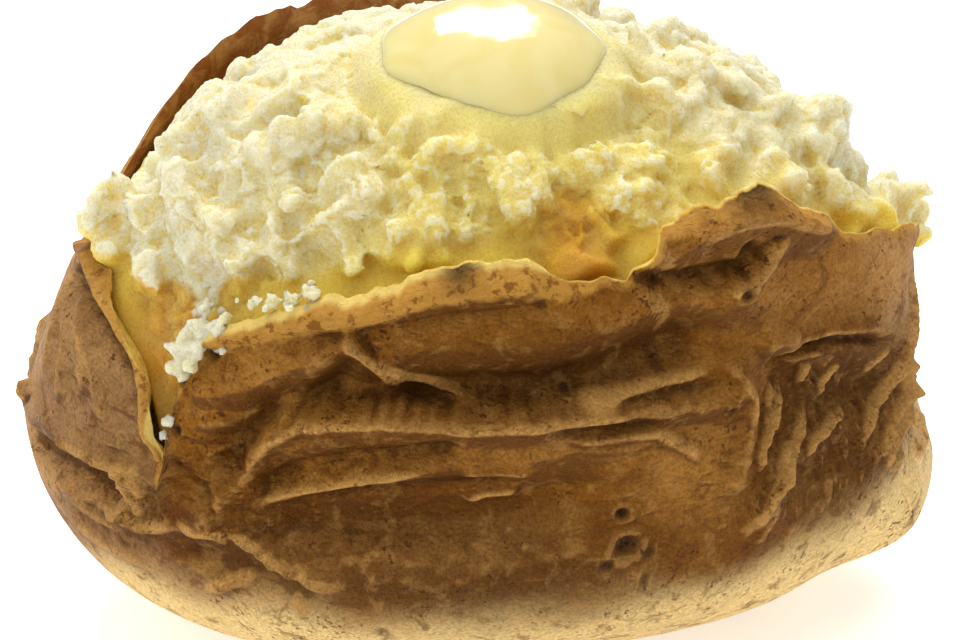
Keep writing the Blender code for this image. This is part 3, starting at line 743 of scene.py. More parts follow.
# %% Clumps: where on the mound, how big, and how far each stands out of it
CLUMPS = [
    # The big smooth slab at the top left, and the crumbs down its side.
    ((-29, -12, 80), 11.0, 0.6), ((-35, -5, 79), 7.0, 1.6), ((-22, -5, 83), 8.0, 0.2),
    ((-25, -20, 78), 6.0, 0.6), ((-31, -18, 76), 7.0, 0.4), ((-40, -10, 74), 3.4, 0.6),
    ((-42, -9, 72), 2.2, 0.9), ((-41, -12, 71), 2.6, 0.7), ((-38, -8, 77), 2.4, 0.8),
    # The left hand tip and the masses under the slab.
    ((-41, -19, 68), 6.5, 0.6), ((-47.5, -11, 63), 5.0, 1.0), ((-49.5, -10, 65.5), 3.8, 2.0),
    ((-51.5, -9, 62), 4.0, 1.4), ((-46, -13, 66), 4.5, 1.4), ((-49, -13, 59.5), 4.0, 0.8),
    ((-33, -28, 64.5), 3.6, 0.8), ((-27, -31, 65.5), 3.4, 0.8), ((-19, -34, 66.5), 3.2, 0.5),
    ((-11, -35.5, 67.5), 3.0, 0.3), ((-45, -16, 63), 5.0, 0.6), ((-35, -25, 67), 5.5, 0.5),
    ((-28, -29, 67), 5.0, 0.7), ((-21, -31, 69), 6.0, 0.9), ((-14, -33, 68), 4.5, 0.6),
    # The middle.
    ((-21, -19, 80), 4.0, 0.9), ((-17, -27, 74), 7.0, 1.1), ((-19, -25, 76), 5.0, 1.0),
    ((-8, -27, 77), 5.0, 0.9), ((-3, -24, 79), 5.0, 0.7), ((-9, -32, 71), 5.0, 0.7),
    ((-4, -32, 71), 5.5, 0.9), ((1, -30, 75), 6.5, 1.3), ((5, -31, 73), 6.0, 1.0),
    ((4, -33, 70), 5.0, 0.8), ((12, -30, 73), 6.0, 0.8), ((12, -33, 69), 5.0, 0.6),
    ((17, -30, 71), 4.5, 0.8), ((19, -26, 75), 6.5, 1.0), ((-6, -20, 81), 6.0, 0.2),
    ((15, -15, 82), 7.0, 0.7), ((1, -22, 81), 6.0, 0.2), ((-8, -20, 82), 5.0, 0.3), ((9, -21, 81), 5.0, 0.4),
    # The big mass on the right and the ledge that it rests on.
    ((27, -12, 81), 9.0, 0.4), ((31, -16, 77), 10.0, 0.8), ((40, -11, 74), 8.0, 1.3),
    ((47, -8, 69), 6.0, 2.0), ((45, -6, 72), 5.0, 2.0), ((27, -25, 73), 5.0, 0.3), ((38, -21, 69), 6.0, 0.6),
    ((33, -25, 69), 4.0, 0.6), ((44, -17, 66), 5.5, 1.0), ((49, -13, 63), 5.5, 1.3),
    ((54, -7, 60), 4.5, 1.6), ((55.5, -4, 57.5), 3.8, 2.2), ((52, -12, 59.5), 3.8, 1.3),
    ((56.5, -2, 54.5), 3.0, 2.4), ((57, -4, 59.5), 2.6, 2.6), ((48, -17, 61), 3.8, 0.8),
    ((56, 3, 57), 3.4, 1.8), ((43, -21, 62.5), 3.6, 0.6), ((58, -3, 56), 3.4, 2.4),
    ((57, -6, 54), 2.4, 2.0), ((55.5, -8, 55), 3.4, 1.4), ((11, -36, 66), 5.0, 0.4),
]  # fmt: skip
MOUND_TOP, MOUND_LONG, MOUND_DEEP = 85.0, 58.0, 41.0
TORN_FACES = 11
UNDER_PEAK = 66
print(len(CLUMPS), "clumps put in place")


# %% One clump
def add_clump(bm, middle, radius, dice, detail=3):
    """A broken lump: a ball made uneven by noise, with a few flat faces where it tore."""
    lump = bmesh.new()
    bmesh.ops.create_icosphere(lump, subdivisions=detail, radius=1)
    places = np.array([vertex.co for vertex in lump.verts])
    places *= 1 + 0.20 * lumps(places, 0.8, dice.uniform(0, 90))[:, None]
    for _ in range(TORN_FACES):
        facing = dice.normal(size=3)
        facing /= np.linalg.norm(facing)
        past = np.maximum(places @ facing - dice.uniform(0.42, 0.75), 0)
        places -= 0.95 * past[:, None] * facing
    draw(lump, places * dice.uniform(0.8, 1.15, 3) * radius + middle)
    carrier = bpy.data.meshes.new("lump")
    lump.to_mesh(carrier)
    lump.free()
    bm.from_mesh(carrier)
    bpy.data.meshes.remove(carrier)


def rim_height(around):
    """The edge of the mouth, without the peak, which the flesh stands behind."""
    return np.minimum(mouth_height(around), UNDER_PEAK)


def mound_normal(place):
    """Which way the plain mound faces at a place on it."""
    wide = max(math.hypot(place[0] / MOUND_LONG, place[1] / MOUND_DEEP), 1e-6) ** (MOUND_FULLNESS - 2)
    above = max(place[2] - GIRTH, 0) / (MOUND_TOP - GIRTH)
    facing = np.array([place[0] / MOUND_LONG**2 * wide, place[1] / MOUND_DEEP**2 * wide,
                       above ** (MOUND_FULLNESS - 1) / (MOUND_TOP - GIRTH)])  # fmt: skip
    return facing / np.linalg.norm(facing)


def set_clump(bm, place, radius, stand, dice, detail=3):
    """A clump that stands out of the mound by `stand` where it's put."""
    place = np.array(place, float)
    add_clump(bm, place - mound_normal(place) * (radius * 0.92 - stand), radius, dice, detail)


def on_mound(angle, up):
    """A point on the plain mound, from its turn round the middle and its height."""
    above = (up - GIRTH) / (MOUND_TOP - GIRTH)
    wide = (1 - above**MOUND_FULLNESS) ** (1 / MOUND_FULLNESS)
    return np.array([MOUND_LONG * wide * math.sin(angle), -MOUND_DEEP * wide * math.cos(angle), up])


print("the mound faces", mound_normal((0, -20, 80)).round(2), "above its front")

# %% All the clumps
BACK_CLUMPS, SMALL_CLUMPS = 34, 130
SUNK_BEHIND = 2.8  # small clumps at the back and high at the left stand out less


def scatter_clumps(bm):
    dice = np.random.default_rng(7)
    for place, radius, stand in CLUMPS:
        set_clump(bm, place, radius, stand, dice)
    for _ in range(BACK_CLUMPS):
        angle, up = dice.uniform(1.5, 4.4), 64 + 20 * dice.uniform()
        set_clump(bm, on_mound(angle, up), dice.uniform(4, 8), dice.uniform(-2.6, -0.8), dice)
    for _ in range(SMALL_CLUMPS):
        angle, up = dice.uniform(-math.pi, math.pi), 58 + 26 * dice.uniform() ** 0.8
        radius = 1.8 + 3.4 * dice.uniform() ** 1.5
        behind = SUNK_BEHIND if abs(angle) > 1.5 or (angle < -0.9 and up > 66) else 0.0
        around = np.interp(angle, turns, girth_marks)
        by_notch = abs(around + 44) < 8
        if up > rim_height(around) + radius * 0.6 + 8 * by_notch:
            set_clump(bm, on_mound(angle, up), radius, 0.12 * radius - behind, dice, 2)


def shards(points, size, seed):
    """Broken chunks: each cell of a crooked grid stands out and leans in its own way, and a groove
    parts it from the next."""
    scaled = points / size + np.array([seed, seed * 0.61, 0.5])
    base = np.floor(scaled - 0.5).astype(np.int64)
    nearest, second = np.full(len(points), np.inf), np.full(len(points), np.inf)
    height = np.zeros(len(points))
    for corner in itertools.product((0, 1), repeat=3):
        cell = base + corner
        mixed = cell_number(cell)
        off = scaled - cell - 0.5 - 0.4 * LEANS[(mixed + 91) & 255]
        away = np.linalg.norm(off, axis=1)
        stands = 1.1 * np.einsum("ij,ij->i", off, LEANS[mixed]) + LEANS[(mixed + 37) & 255, 0]
        closer = away < nearest
        second = np.where(closer, nearest, np.minimum(second, away))
        height = np.where(closer, stands, height)
        nearest = np.minimum(nearest, away)
    return np.clip(height, -1.2, 1.2) - 0.7 * (1 - ease((second - nearest) / 0.16))


def squeeze_left_back(bm):
    """On the left, behind the tip, the flesh stands well inside the skin."""
    for vertex in bm.verts:
        x, y, z = vertex.co
        share = ease((y + 11) / 7) * ease((-x - 20) / 15) * ease((z - 57) / 6) * (1 - ease((z - 75) / 6))
        vertex.co.x = x * (1 - 0.10 * float(share))


scatter_clumps(core)
squeeze_left_back(core)
print("core and clumps:", len(core.verts), "points")

# %% [markdown]
# ## Fusing and roughening
# The voxel remesh turns the pile into one skin of even squares. Its points then move along their
# normals by layers of broken chunks, big ones first and then small, with sharp clefts between them.
# The part inside the jacket is never seen, so its triangles are thinned out.

# %% Fuse the pile
def applied(piece, kind, **settings):
    """Adds one modifier to a loose object and returns the mesh that it makes."""
    modifier = piece.modifiers.new(kind.lower(), kind)
    for key, value in settings.items():
        setattr(modifier, key, value)
    bpy.context.view_layer.update()
    graph = bpy.context.evaluated_depsgraph_get()
    made = bpy.data.meshes.new_from_object(piece.evaluated_get(graph))
    old = piece.data
    piece.modifiers.clear()
    piece.data = made
    bpy.data.meshes.remove(old)
    return made


def fuse(pile, size):
    applied(pile, "REMESH", mode="VOXEL", voxel_size=size, adaptivity=0.0)


VOXEL = 0.5
pile = loose_object("pile", core)
fuse(pile, VOXEL)
place_points(pile.data, relaxed(points_of(pile.data), edges_of(pile.data), 4))
print("fused flesh:", len(pile.data.vertices), "points")

# %% The room for the butter
BUTTER = np.array([1.0, -9.0, 84.5])
BUTTER_WIDE, BUTTER_DEEP = 14.2, 12.5
BUTTER_TILT = math.radians(11)


def unrolled(points):
    """The way round the potato of points inside it, from their direction."""
    return np.interp(np.arctan2(points[:, 0] / HALF_LENGTH, -points[:, 1] / HALF_DEPTH), turns, girth_marks)


def butter_room(points):
    """How far each point is from the butter's middle, and how high the butter's middle layer lies
    there: a tilted plane that bends down at its edge to follow the mound."""
    off = points - BUTTER
    reach = np.hypot(off[:, 0] / BUTTER_WIDE, off[:, 1] / BUTTER_DEEP)
    plane = BUTTER[2] + off[:, 1] * math.tan(BUTTER_TILT)
    wide = np.clip(np.hypot(points[:, 0] / MOUND_LONG, points[:, 1] / MOUND_DEEP), 0, 0.95)
    mound = GIRTH + (MOUND_TOP - GIRTH) * (1 - wide**MOUND_FULLNESS) ** (1 / MOUND_FULLNESS)
    bend = ease((reach - 0.45) / 0.6)
    return reach, plane + (np.minimum(mound - 1.0, plane) - plane) * bend


print("the butter's middle is", BUTTER[2], "mm high")

# %% Clefts: a line of places on the mound, a half width, a depth and how yellow it is
CLEFTS = [
    ([(-19, -5, 84), (-20, -12, 82.5), (-20, -17, 81), (-17, -20, 80)], 1.1, 2.2, 0.5),
    ([(-14, -17, 82), (-13, -22, 79.5), (-12, -27, 76), (-9, -29, 75)], 1.7, 3.8, 1.0),
    ([(-2, -33, 71), (-3, -31, 74), (-6, -28, 76)], 1.6, 2.8, 1.0),
    ([(-12, -33, 68), (-6, -34, 67.5)], 1.4, 1.6, 0.8),
    ([(8, -29, 76), (9, -32, 71), (10, -34, 67)], 1.5, 2.6, 0.9),
    ([(13, -22, 80), (18, -22, 79), (21, -20, 79), (23, -23, 76), (25, -26, 72)], 2.2, 3.2, 1.0),
    ([(20, -29, 72), (23, -28, 70)], 1.4, 2.2, 0.9),
    ([(-36, -20, 71), (-30, -24, 71), (-23, -27, 72)], 1.3, 1.5, 0.4),
    ([(29, -25, 71), (34, -22, 71.5), (40, -17, 70.5), (47, -11, 67)], 1.1, 2.2, 0.5),
    ([(-4, -24, 79.5), (2, -25, 79), (9, -26, 78)], 2.2, 1.4, 0.9),
    ([(-29, -28, 69), (-24, -30, 69)], 1.0, 1.4, 0.5),
]  # fmt: skip


def near_line(points, line):
    """How far each point is from a line through space."""
    marks, off = np.array(line, float), np.full(len(points), np.inf)
    for start, step in zip(marks[:-1], np.diff(marks, axis=0)):
        share = np.clip((points - start) @ step / (step @ step), 0, 1)
        off = np.minimum(off, np.linalg.norm(points - start - share[:, None] * step, axis=1))
    return off


def cleft_fields(points):
    """How deep the clefts are and how yellow, at each point."""
    depth, yellow = np.zeros(len(points)), np.zeros(len(points))
    bent = points + 1.3 * np.stack([lumps(points, 4, s) for s in (3, 13, 29)], axis=1)
    for line, half_width, deep, tint in CLEFTS:
        off = near_line(bent, line) / half_width
        depth += deep * np.exp(-(off**2))
        yellow += tint * np.exp(-((off / 1.9) ** 2))
    return depth, yellow


print(len(CLEFTS), "clefts")

# %% Roughen it
WET_REACH = 1.12  # how far the butter has wetted the flesh, in half widths of the butter
ON_TOP = 74  # the flesh above this height can touch the butter


def press(mesh, push):
    """Moves a mesh's points to where `push` says, given them and their normals."""
    place_points(mesh, push(points_of(mesh), normals_of(mesh)))


def free_of_jacket(points):
    return ease((points[:, 2] - rim_height(unrolled(points)) + 1) / 5)


def dome(reach, wide):
    """1 in the butter's middle, going round to 0 at `wide`."""
    return np.sqrt(np.clip(1 - (reach / wide) ** 2, 0, 1))


def open_clefts(points, normals):
    free = free_of_jacket(points)
    depth, _ = cleft_fields(points)
    rough = 0.95 * shards(points + 1.5 * lumps(points, 5, 4.0)[:, None], 8.0, 2.0)
    return points + normals * ((rough - 0.8 * depth) * free)[:, None]


def roughen(points, normals):
    free = free_of_jacket(points)
    rough = 0.30 * shards(points + 0.7 * lumps(points, 2.5, 6.0)[:, None], 3.4, 31.0)
    rough += 0.15 * shards(points, 1.5, 67.0) + 0.08 * lumps(points, 0.9, 12.0)
    calm = 0.4 * spot(points[:, 0], points[:, 1], (34, -14), (15, 13))
    calm += 0.4 * spot(points[:, 0], points[:, 1], (-29, -11), (9, 9))
    points = points + normals * (rough * (0.03 + 0.97 * free) * (1 - calm))[:, None]
    reach, layer = butter_room(points)
    lowest = layer + 0.2 - 2.3 * dome(reach, 0.92)
    highest = layer + 0.7 - 2.0 * dome(reach, 0.98)
    wanted = np.clip(points[:, 2], lowest, highest)
    seat = 1 - ease((reach - 1.08) / 0.22)
    points[:, 2] += (wanted - points[:, 2]) * seat * (points[:, 2] > ON_TOP)
    return points


def calm_collar(points, normals):
    """The melted butter has wetted and smoothed the flesh next to it."""
    reach, _ = butter_room(points)
    share = (1 - ease((reach - WET_REACH) / 0.2)) * (points[:, 2] > ON_TOP)
    return points + (relaxed(points, edges_of(pile.data), 16) - points) * share[:, None]


press(pile.data, open_clefts)
fuse(pile, VOXEL)
press(pile.data, roughen)
press(pile.data, calm_collar)
print("roughened:", len(pile.data.vertices), "points")

# %% Thin out what the jacket hides
FACES_WANTED = 185_000
NEVER_SEEN = 9  # how far under the edge of the mouth, in millimetres
hidden = pile.vertex_groups.new(name="hidden")
heights = points_of(pile.data)
buried = heights[:, 2] < mouth_height(unrolled(heights)) - NEVER_SEEN
hidden.add([int(i) for i in np.flatnonzero(~buried)], 1.0, "REPLACE")
ratio = min(1.0, FACES_WANTED / (2 * len(pile.data.polygons)))
applied(pile, "DECIMATE", ratio=ratio, vertex_group="hidden", invert_vertex_group=True,
        vertex_group_factor=8.0)  # fmt: skip
pile.data.calc_loop_triangles()
print("flesh:", len(pile.data.loop_triangles), "triangles,", int(buried.sum()), "points were hidden")


# %% What its surface knows: clefts, sides and wet places
NOTCH_SIDES = [(1, (-50, 50), (12, 20)), (1, (11, 66), (8, 12))]  # where the smooth side shows


def flesh_marks(mesh):
    points, normals, edges = points_of(mesh), normals_of(mesh), edges_of(mesh)
    near = relaxed(points, edges, 5)
    wide = relaxed(near, edges, 60)
    fine_cleft = np.einsum("ij,ij->i", near - points, normals)
    broad_cleft = np.einsum("ij,ij->i", wide - points, normals)
    around = unrolled(points)
    notch = spots(around, points[:, 2], NOTCH_SIDES)
    above = points[:, 2] - rim_height(around) + 1.5 * lumps(points, 5, 8.0)
    reach_up = 6 * np.clip(notch, 0, 1) + 9 * spot(around, points[:, 2], (-45, 54), (8, 7))
    side = 1 - ease((above - 0.5 - reach_up) / 2.5)
    reach, _ = butter_room(points)
    wet = np.exp(-((np.maximum(reach - 1, 0) / 0.35) ** 2)) * np.where(points[:, 1] < -4, 1.0, 0.5)
    # The clefts' yellow is painted golden light; the flesh is also made yellower low by the rim and in a
    # patch at the front.
    _, yellow = cleft_fields(points)
    yellow += 0.55 * spot(points[:, 0], points[:, 2], (5, 73), (24, 11)) * (points[:, 1] < 0)
    low = (1 - ease((above - 1) / 11)) * ease((points[:, 0] + 47) / 8)
    yellow += 0.6 * low * (points[:, 1] < 5)
    return {"fine_cleft": fine_cleft, "broad_cleft": broad_cleft, "side": side, "wet": wet,
            "yellow": np.clip(yellow, 0, 1), "notch": np.clip(notch, 0, 1)}  # fmt: skip


marks = flesh_marks(pile.data)
flesh = piece_from_pile("fluffy_flesh", pile, marks)
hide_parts("flesh")
print(ranges(marks))

# %% [markdown]
# ## The butter
# A pat of butter on hot potato slumps into a lens with a wet, mirror-like top, and its edge bends
# down to follow the mound. The lens is a ball drawn flat and wavy over the room that was left for
# it. A remesh and some relaxing round its thin rim.

# %% Shape the butter
BUTTER_WAVES = [(0.04, 3, 0.6), (0.03, 5, 1), (0.02, 9, 0)]  # how deep, how many and where they start
RIM_POWER = 1.1  # above 1, the rim is thinner than a ball's
BUTTER_ABOVE, BUTTER_BELOW = 2.6, 2.0


def butter_pile():
    bm, turn, rise = ball(96, 48)
    angle = turn * math.pi
    out = np.sin(rise * math.pi) ** RIM_POWER
    wavy = 1 + sum(deep * np.sin(count * angle + start) for deep, count, start in BUTTER_WAVES)
    x, y = BUTTER_WIDE * out * wavy * np.sin(angle), -BUTTER_DEEP * out * wavy * np.cos(angle)
    swell = -np.cos(rise * math.pi)
    places = np.stack([x, y, 0 * x], axis=1) + BUTTER
    _, layer = butter_room(places)
    places[:, 2] = layer + np.where(swell > 0, BUTTER_ABOVE, BUTTER_BELOW) * swell
    draw(bm, places)
    return loose_object("butter_pile", bm)


melt = butter_pile()
fuse(melt, 0.35)
rounded = relaxed(points_of(melt.data), edges_of(melt.data), 14)
rounded[:, 2] += 0.10 * lumps(rounded, 6, 4.0)
place_points(melt.data, rounded)
butter = piece_from_pile("melting_butter", melt, {})
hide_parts("butter")
print("butter:", len(butter.data.polygons), "faces")

# %% [markdown]
# ## The crumbs on the flap
# A bit of flesh stayed stuck to the corner of the front flap. It is a small pile of the same clumps.

# %% Shape the stuck crumbs: place on the unrolled skin, and radius
STUCK = [(-43.8, 51.6, 2.4), (-42.4, 53.6, 2.6), (-40.6, 55.4, 2.2), (-38.2, 57.4, 1.6), (-44.2, 49.8, 1.7),
         (-41.6, 55.2, 2.0), (-34, 60.4, 1.1), (-45.0, 43.0, 1.0), (-45.3, 40.6, 0.8), (-31, 61.2, 1.2),
         (-28.6, 61.9, 1.5), (-25.5, 62.9, 1.3)]  # fmt: skip
LIFT = np.array([0, 0, 0.6])  # they lie on the edge of the skin, not in it
BITS = 5  # smaller bits round each crumb


def stuck_crumbs():
    bm = bmesh.new()
    dice = np.random.default_rng(19)
    for along, up, radius in STUCK:
        spot_on_skin = np.array([along]), np.array([level_of(up)])
        place = plain_wall(*spot_on_skin)[0] + 0.2 * wall_normals(*spot_on_skin)[0]
        add_clump(bm, place + LIFT, radius, dice)
        for _ in range(BITS):
            crumb = place + dice.normal(size=3) * radius * 0.55
            add_clump(bm, crumb + LIFT, radius * dice.uniform(0.35, 0.7), dice, 2)
    return loose_object("stuck_pile", bm)


stuck = stuck_crumbs()
fuse(stuck, 0.3)
press(stuck.data, lambda places, normals: places + normals * (0.25 * shards(places, 1.6, 5.0))[:, None])
crumb_marks = {label: np.zeros(len(stuck.data.vertices)) for label in marks}
crumbs = piece_from_pile("stuck_crumbs", stuck, crumb_marks)
print("stuck crumbs:", len(crumbs.data.polygons), "faces")


# %% [markdown]
# ## Finishes
# Each finish is a small tree of shader nodes. One helper adds a node and joins what it is given, so
# that a finish reads as a list of layers.

# %% A helper for shader trees
class Finish:
    """One material, its node tree and short ways to add to it."""

    def __init__(self, name):
        self.material = bpy.data.materials.new(name)
        self.material.use_nodes = True
        self.tree = self.material.node_tree
        self.shader = self.tree.nodes["Principled BSDF"]
        self.place = self.add("ShaderNodeTexCoord").outputs["Object"]

    def add(self, kind, inputs=None, **settings):
        node = self.tree.nodes.new(kind)
        for key, value in settings.items():
            setattr(node, key, value)
        for key, value in (inputs or {}).items():
            self.join(value, node.inputs[key])
        return node

    def join(self, value, socket):
        if isinstance(value, bpy.types.NodeSocket):
            self.tree.links.new(value, socket)
        elif isinstance(value, tuple) and len(value) == 3 and socket.type == "RGBA":
            socket.default_value = (*value, 1)
        else:
            socket.default_value = value

    def noise(self, size, detail=3.0, rough=0.55, place=None, warp=0.0):
        """Noise from 0 to 1 with features of about `size` millimetres."""
        return self.add("ShaderNodeTexNoise", {
            "Vector": place or self.place, "Scale": 1 / (size * MM), "Detail": detail,
            "Roughness": rough, "Distortion": warp,
        }).outputs["Fac"]  # fmt: skip

    def mark(self, name):
        return self.add("ShaderNodeAttribute", attribute_name=name).outputs["Fac"]

    def band(self, value, start, end, low=0.0, high=1.0):
        """The value's way from start to end, as a number from low to high, eased."""
        return self.add("ShaderNodeMapRange", {
            "Value": value, "From Min": start, "From Max": end, "To Min": low, "To Max": high,
        }, interpolation_type="SMOOTHSTEP").outputs["Result"]  # fmt: skip

    def maths(self, kind, first, second=0.0):
        return self.add("ShaderNodeMath", {0: first, 1: second}, operation=kind).outputs[0]

    def mix(self, share, first, second, blend="MIX"):
        node = self.add("ShaderNodeMix", data_type="RGBA", blend_type=blend)
        for socket, value in zip((node.inputs[0], node.inputs[6], node.inputs[7]), (share, first, second)):
            self.join(value, socket)
        return node.outputs[2]

    def over(self, under, share, most, colour):
        """Lays a colour over what is under it, as strongly as `share` says, times `most`."""
        return self.mix(self.maths("MULTIPLY", share, most), under, colour)

    def layered(self, under, layers):
        """Lays on colours, each where its mark or pattern goes from a start to an end."""
        for value, start, end, most, colour in layers:
            value = self.mark(value) if isinstance(value, str) else value
            under = self.mix(self.band(value, start, end, 0, most), under, colour)
        return under

    def stretched(self, x, y, z):
        """Object coordinates squeezed along each axis, for patterns that run one way."""
        return self.add("ShaderNodeMapping", {"Vector": self.place, "Scale": (x, y, z)}).outputs["Vector"]

    def bump(self, height, depth, before=None):
        """A bump `depth` millimetres deep."""
        inputs = {"Height": height, "Strength": 1.0, "Distance": depth * MM}
        if before is not None:
            inputs["Normal"] = before
        return self.add("ShaderNodeBump", inputs).outputs["Normal"]

    def set(self, **sockets):
        for key, value in sockets.items():
            self.join(value, self.shader.inputs[key.replace("_", " ")])
        return self.material


print("finish helper ready")

# %% [markdown]
# ## The skin's finish
# Baked skin is dull, leathery and never one brown. Broad patches of tan and umber come first, then a
# net of fine dark flecks. Painted light makes crests and slopes facing up paler, painted shade makes
# valleys and slopes facing down darker, and the underside is pale buff. The inside of the flaps is lined
# with dried, golden flesh.

# %% Paint the skin
# Painted light and painted shade that follow the relief: paler on crests, rises, raised strokes and slopes
# facing up, darker in valleys, creases and slopes facing down.
RELIEF_LIGHT_AND_SHADE = [
    # Each is a mark, where its colour starts and is full, how strongly it covers, and the colour.
    ("rise", -0.15, -1.5, 0.60, (0.09, 0.032, 0.005)),
    ("rise", 0.4, 1.6, 0.25, (0.42, 0.21, 0.055)),
    ("tilt", 0.12, 0.60, 0.22, (0.50, 0.25, 0.065)),
    ("tilt", -0.06, -0.45, 0.70, (0.075, 0.026, 0.004)),
    ("crest", 0.04, 0.22, 0.40, (0.52, 0.27, 0.075)),
    ("crest", -0.03, -0.20, 0.65, (0.075, 0.026, 0.004)),
    ("stroke", 0.55, 1.2, 0.55, (0.56, 0.30, 0.08)),
    ("stroke", -0.4, -1.4, 0.80, (0.07, 0.024, 0.003)),
]


def skin_finish():
    f = Finish("baked_skin")
    patches = f.noise(15, 2, 0.5, warp=0.6)
    blotches = f.noise(3.4, 5, 0.65, warp=0.6)
    grain = f.noise(0.45, 3, 0.7)
    dusty = f.mix(f.band(patches, 0.36, 0.64), (0.30, 0.155, 0.055), (0.44, 0.245, 0.095))
    golden = f.mix(f.band(patches, 0.36, 0.64), (0.175, 0.057, 0.002), (0.260, 0.098, 0.008))
    colour = f.mix(f.mark("front"), dusty, golden)
    colour = f.over(colour, f.mark("pale"), 0.95, (0.86, 0.62, 0.25))
    # Painted light: paler where the spots of painted light lie.
    colour = f.over(colour, f.mark("painted_light"), 0.55, (0.50, 0.235, 0.045))
    # Painted shade: darker where the spots of the shade mark lie.
    colour = f.over(colour, f.mark("shade"), 0.78, (0.088, 0.030, 0.002))
    # Painted light and shade from the relief.
    colour = f.layered(colour, RELIEF_LIGHT_AND_SHADE)
    colour = f.layered(colour, [(blotches, 0.51, 0.66, 0.60, (0.12, 0.040, 0.006)),
                                (blotches, 0.48, 0.34, 0.25, (0.46, 0.24, 0.065))])  # fmt: skip
    freckles = f.maths("MULTIPLY", f.band(f.noise(0.9, 3, 0.6), 0.57, 0.64),
                       f.band(f.noise(7, 3, 0.65), 0.50, 0.60))  # fmt: skip
    colour = f.over(colour, freckles, 0.75, (0.07, 0.022, 0.005))
    colour = f.mix(1.0, colour, f.band(grain, 0.30, 0.70, 1.22, 0.76), "MULTIPLY")
    uneven_edge = f.maths("ADD", f.mark("edge"), f.maths("MULTIPLY", f.noise(3, 3, 0.6), 2.0))
    tan = f.mix(f.band(f.noise(1.6, 4, 0.7), 0.52, 0.62), (0.60, 0.31, 0.055), (0.25, 0.10, 0.014))
    colour = f.over(colour, f.band(uneven_edge, 5.6, 4.4), 0.65, tan)
    colour = f.over(colour, f.band(f.mark("edge"), 1.1, 0.4), 0.8, (0.80, 0.60, 0.17))
    torn = f.maths("ADD", f.mark("torn"), f.maths("MULTIPLY", f.noise(1.5, 4, 0.7), 0.6))
    colour = f.over(colour, f.band(torn, 0.72, 0.95), 0.75, (0.66, 0.50, 0.24))
    eyes = f.mix(f.band(grain, 0.40, 0.60), (0.02, 0.010, 0.004), (0.10, 0.045, 0.012))
    colour = f.mix(f.mark("dark"), colour, eyes)
    lining = f.mix(f.band(blotches, 0.4, 0.65), (0.82, 0.60, 0.14), (0.66, 0.38, 0.05))
    bare = f.mix(f.band(blotches, 0.4, 0.62), (0.27, 0.092, 0.024), (0.42, 0.21, 0.07))
    lining = f.mix(f.mark("golden"), bare, lining)
    colour = f.mix(f.mark("lining"), colour, lining)
    creases = f.add("ShaderNodeTexVoronoi", {"Vector": f.stretched(1.0, 1.0, 1.5), "Scale": 1 / (2.6 * MM)},
                    feature="DISTANCE_TO_EDGE").outputs["Distance"]  # fmt: skip
    wrinkles = f.maths("ABSOLUTE", f.maths("SUBTRACT", f.noise(1.6, 4, 0.6, warp=1.5), 0.5))
    normal = f.bump(f.band(creases, 0.0, 0.16), 0.06)
    normal = f.bump(wrinkles, 0.5, normal)
    normal = f.bump(grain, 0.16, normal)
    rough = f.band(blotches, 0.35, 0.7, 0.50, 0.70)
    return f.set(Base_Color=colour, Roughness=rough, Normal=normal, Specular_IOR_Level=0.08)


jacket.data.materials.append(skin_finish())
print("skin painted")

# %% [markdown]
# ## The flesh's finish
# The clumps are pale and glisten a little, because each cell is a tiny clear bag. In the clefts, light
# has passed through more of them and comes out golden; that light is painted into the clefts as a golden
# colour, and raised bits are painted paler as if lit. The smooth sides that were against the skin are amber.
# Light also enters and spreads, so the shader scatters it under the skin.

# %% Paint the flesh
def flesh_finish():
    f = Finish("crumbly_flesh")
    grain = f.noise(0.42, 3, 0.7)
    clouds = f.noise(6.5, 3, 0.6, warp=0.6)
    colour = f.mix(f.band(clouds, 0.38, 0.62), (0.74, 0.69, 0.49), (0.74, 0.67, 0.40))
    # Painted golden light in the clefts, from the yellow mark and from the clefts found on the mesh, and
    # painted light that makes raised bits paler.
    colour = f.over(colour, f.mark("yellow"), 0.75, (0.80, 0.63, 0.10))
    colour = f.layered(colour, [("broad_cleft", 0.2, 1.6, 0.8, (0.82, 0.64, 0.10)),
                                ("fine_cleft", 0.02, 0.16, 0.5, (0.84, 0.70, 0.20)),
                                ("fine_cleft", -0.03, -0.16, 0.5, (0.78, 0.75, 0.60))])  # fmt: skip
    colour = f.over(colour, f.mark("wet"), 0.6, (0.78, 0.66, 0.22))
    amber = f.mix(f.band(clouds, 0.35, 0.65), (0.56, 0.27, 0.020), (0.60, 0.36, 0.07))
    side = f.mix(f.mark("notch"), (0.80, 0.60, 0.09), amber)
    colour = f.mix(f.mark("side"), colour, side)
    colour = f.mix(1.0, colour, f.band(grain, 0.30, 0.70, 0.92, 1.06), "MULTIPLY")
    normal = f.bump(f.noise(1.3, 4, 0.65), 0.25)
    normal = f.bump(grain, 0.32, normal)
    rough = f.band(grain, 0.40, 0.62, 0.25, 0.60)
    return f.set(Base_Color=colour, Roughness=rough, Normal=normal, Specular_IOR_Level=0.45,
                 Subsurface_Weight=0.8, Subsurface_Radius=(1.0, 0.85, 0.45),
                 Subsurface_Scale=4.0 * MM)  # fmt: skip


painted_flesh = flesh_finish()
for piece in (flesh, crumbs):
    piece.data.materials.append(painted_flesh)
print("flesh painted")

# %% [markdown]
# ## The butter's finish
# Melting butter is a cloudy liquid: yellow deep down, clear and shiny on top.

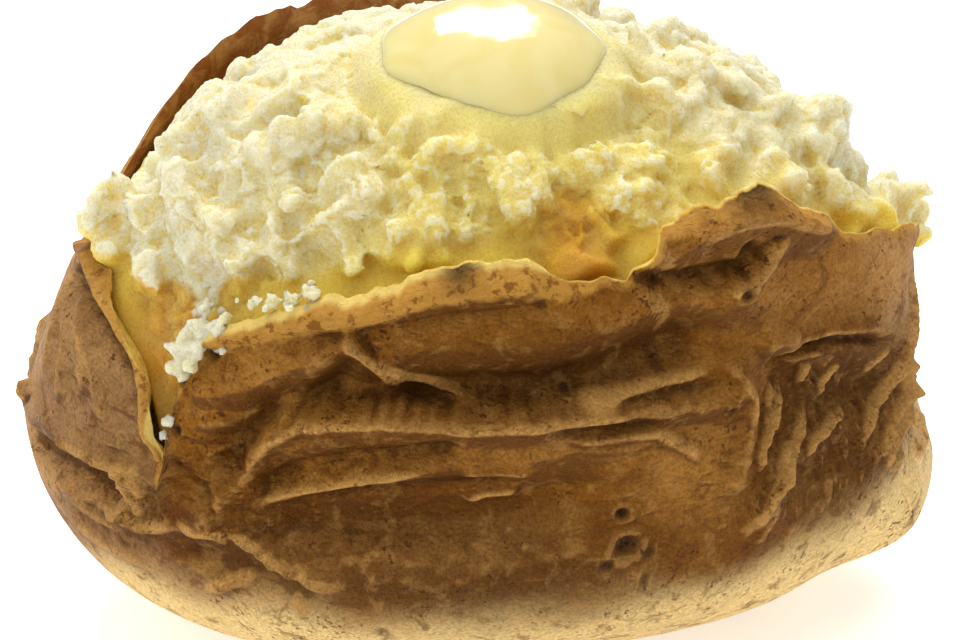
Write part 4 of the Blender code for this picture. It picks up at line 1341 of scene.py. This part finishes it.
# %% Paint the butter
def butter_finish():
    f = Finish("melted_butter")
    colour = f.mix(f.band(f.noise(6, 3, 0.5, warp=0.8), 0.35, 0.65), (0.74, 0.64, 0.28), (0.72, 0.60, 0.22))
    normal = f.bump(f.noise(2.2, 2, 0.5), 0.05)
    return f.set(Base_Color=colour, Roughness=0.12, Normal=normal, Specular_IOR_Level=0.6,
                 Coat_Weight=0.6, Coat_Roughness=0.04, Subsurface_Weight=0.5,
                 Subsurface_Radius=(1.0, 0.8, 0.35), Subsurface_Scale=3.0 * MM)  # fmt: skip


butter.data.materials.append(butter_finish())
print("butter painted")

# %% [markdown]
# ## The studio
# The potato stands on a white table, in a pale room. A wide, soft lamp hangs over it and another
# stands at its left. A small one behind makes the highlight on the butter. The table throws light
# back up under the belly, and the front stays in its own soft shade, which shows the folds.

# %% Table, lamps and sky
HALF_TABLE = 2.5


def plain_floor():
    bm = bmesh.new()
    bmesh.ops.create_grid(bm, x_segments=1, y_segments=1, size=HALF_TABLE)
    table = loose_object("table", bm)
    white = Finish("white_table").set(Base_Color=(0.9, 0.895, 0.89), Roughness=0.7,
                                      Emission_Color=(1.0, 0.99, 0.98), Emission_Strength=0.50)  # fmt: skip
    table.data.materials.append(white)
    return table


def soft_lamp(name, size, power, location, target, shiny=False):
    """A lamp whose light falls everywhere, but that shows as a highlight only if it's shiny."""
    data = bpy.data.lights.new(name, "AREA")
    data.shape, data.size, data.size_y, data.energy = "RECTANGLE", size[0], size[1], power
    lamp = bpy.data.objects.new(name, data)
    lamp.location = location
    lamp.rotation_euler = (Vector(target) - lamp.location).to_track_quat("-Z", "Y").to_euler()
    bpy.context.scene.collection.objects.link(lamp)
    lamp.visible_glossy = shiny
    return lamp


def pale_sky(strength):
    world = bpy.data.worlds.new("sky")
    world.use_nodes = True
    background = world.node_tree.nodes["Background"]
    background.inputs["Color"].default_value = (1, 1, 1, 1)
    background.inputs["Strength"].default_value = strength
    bpy.context.scene.world = world


plain_floor()
soft_lamp("overhead", (0.9, 0.8), 5.6, (0.05, 0.10, 0.85), (0, 0, 0.05))
soft_lamp("behind", (0.19, 0.15), 1.6, (0.0, 0.42, 0.50), (0, 0, 0.08), shiny=True)
soft_lamp("left", (0.8, 0.8), 3.0, (-0.75, -0.45, 0.60), (0, 0, 0.05))
pale_sky(0.48)
bpy.context.scene.view_settings.view_transform = "Standard"
print("studio lit")
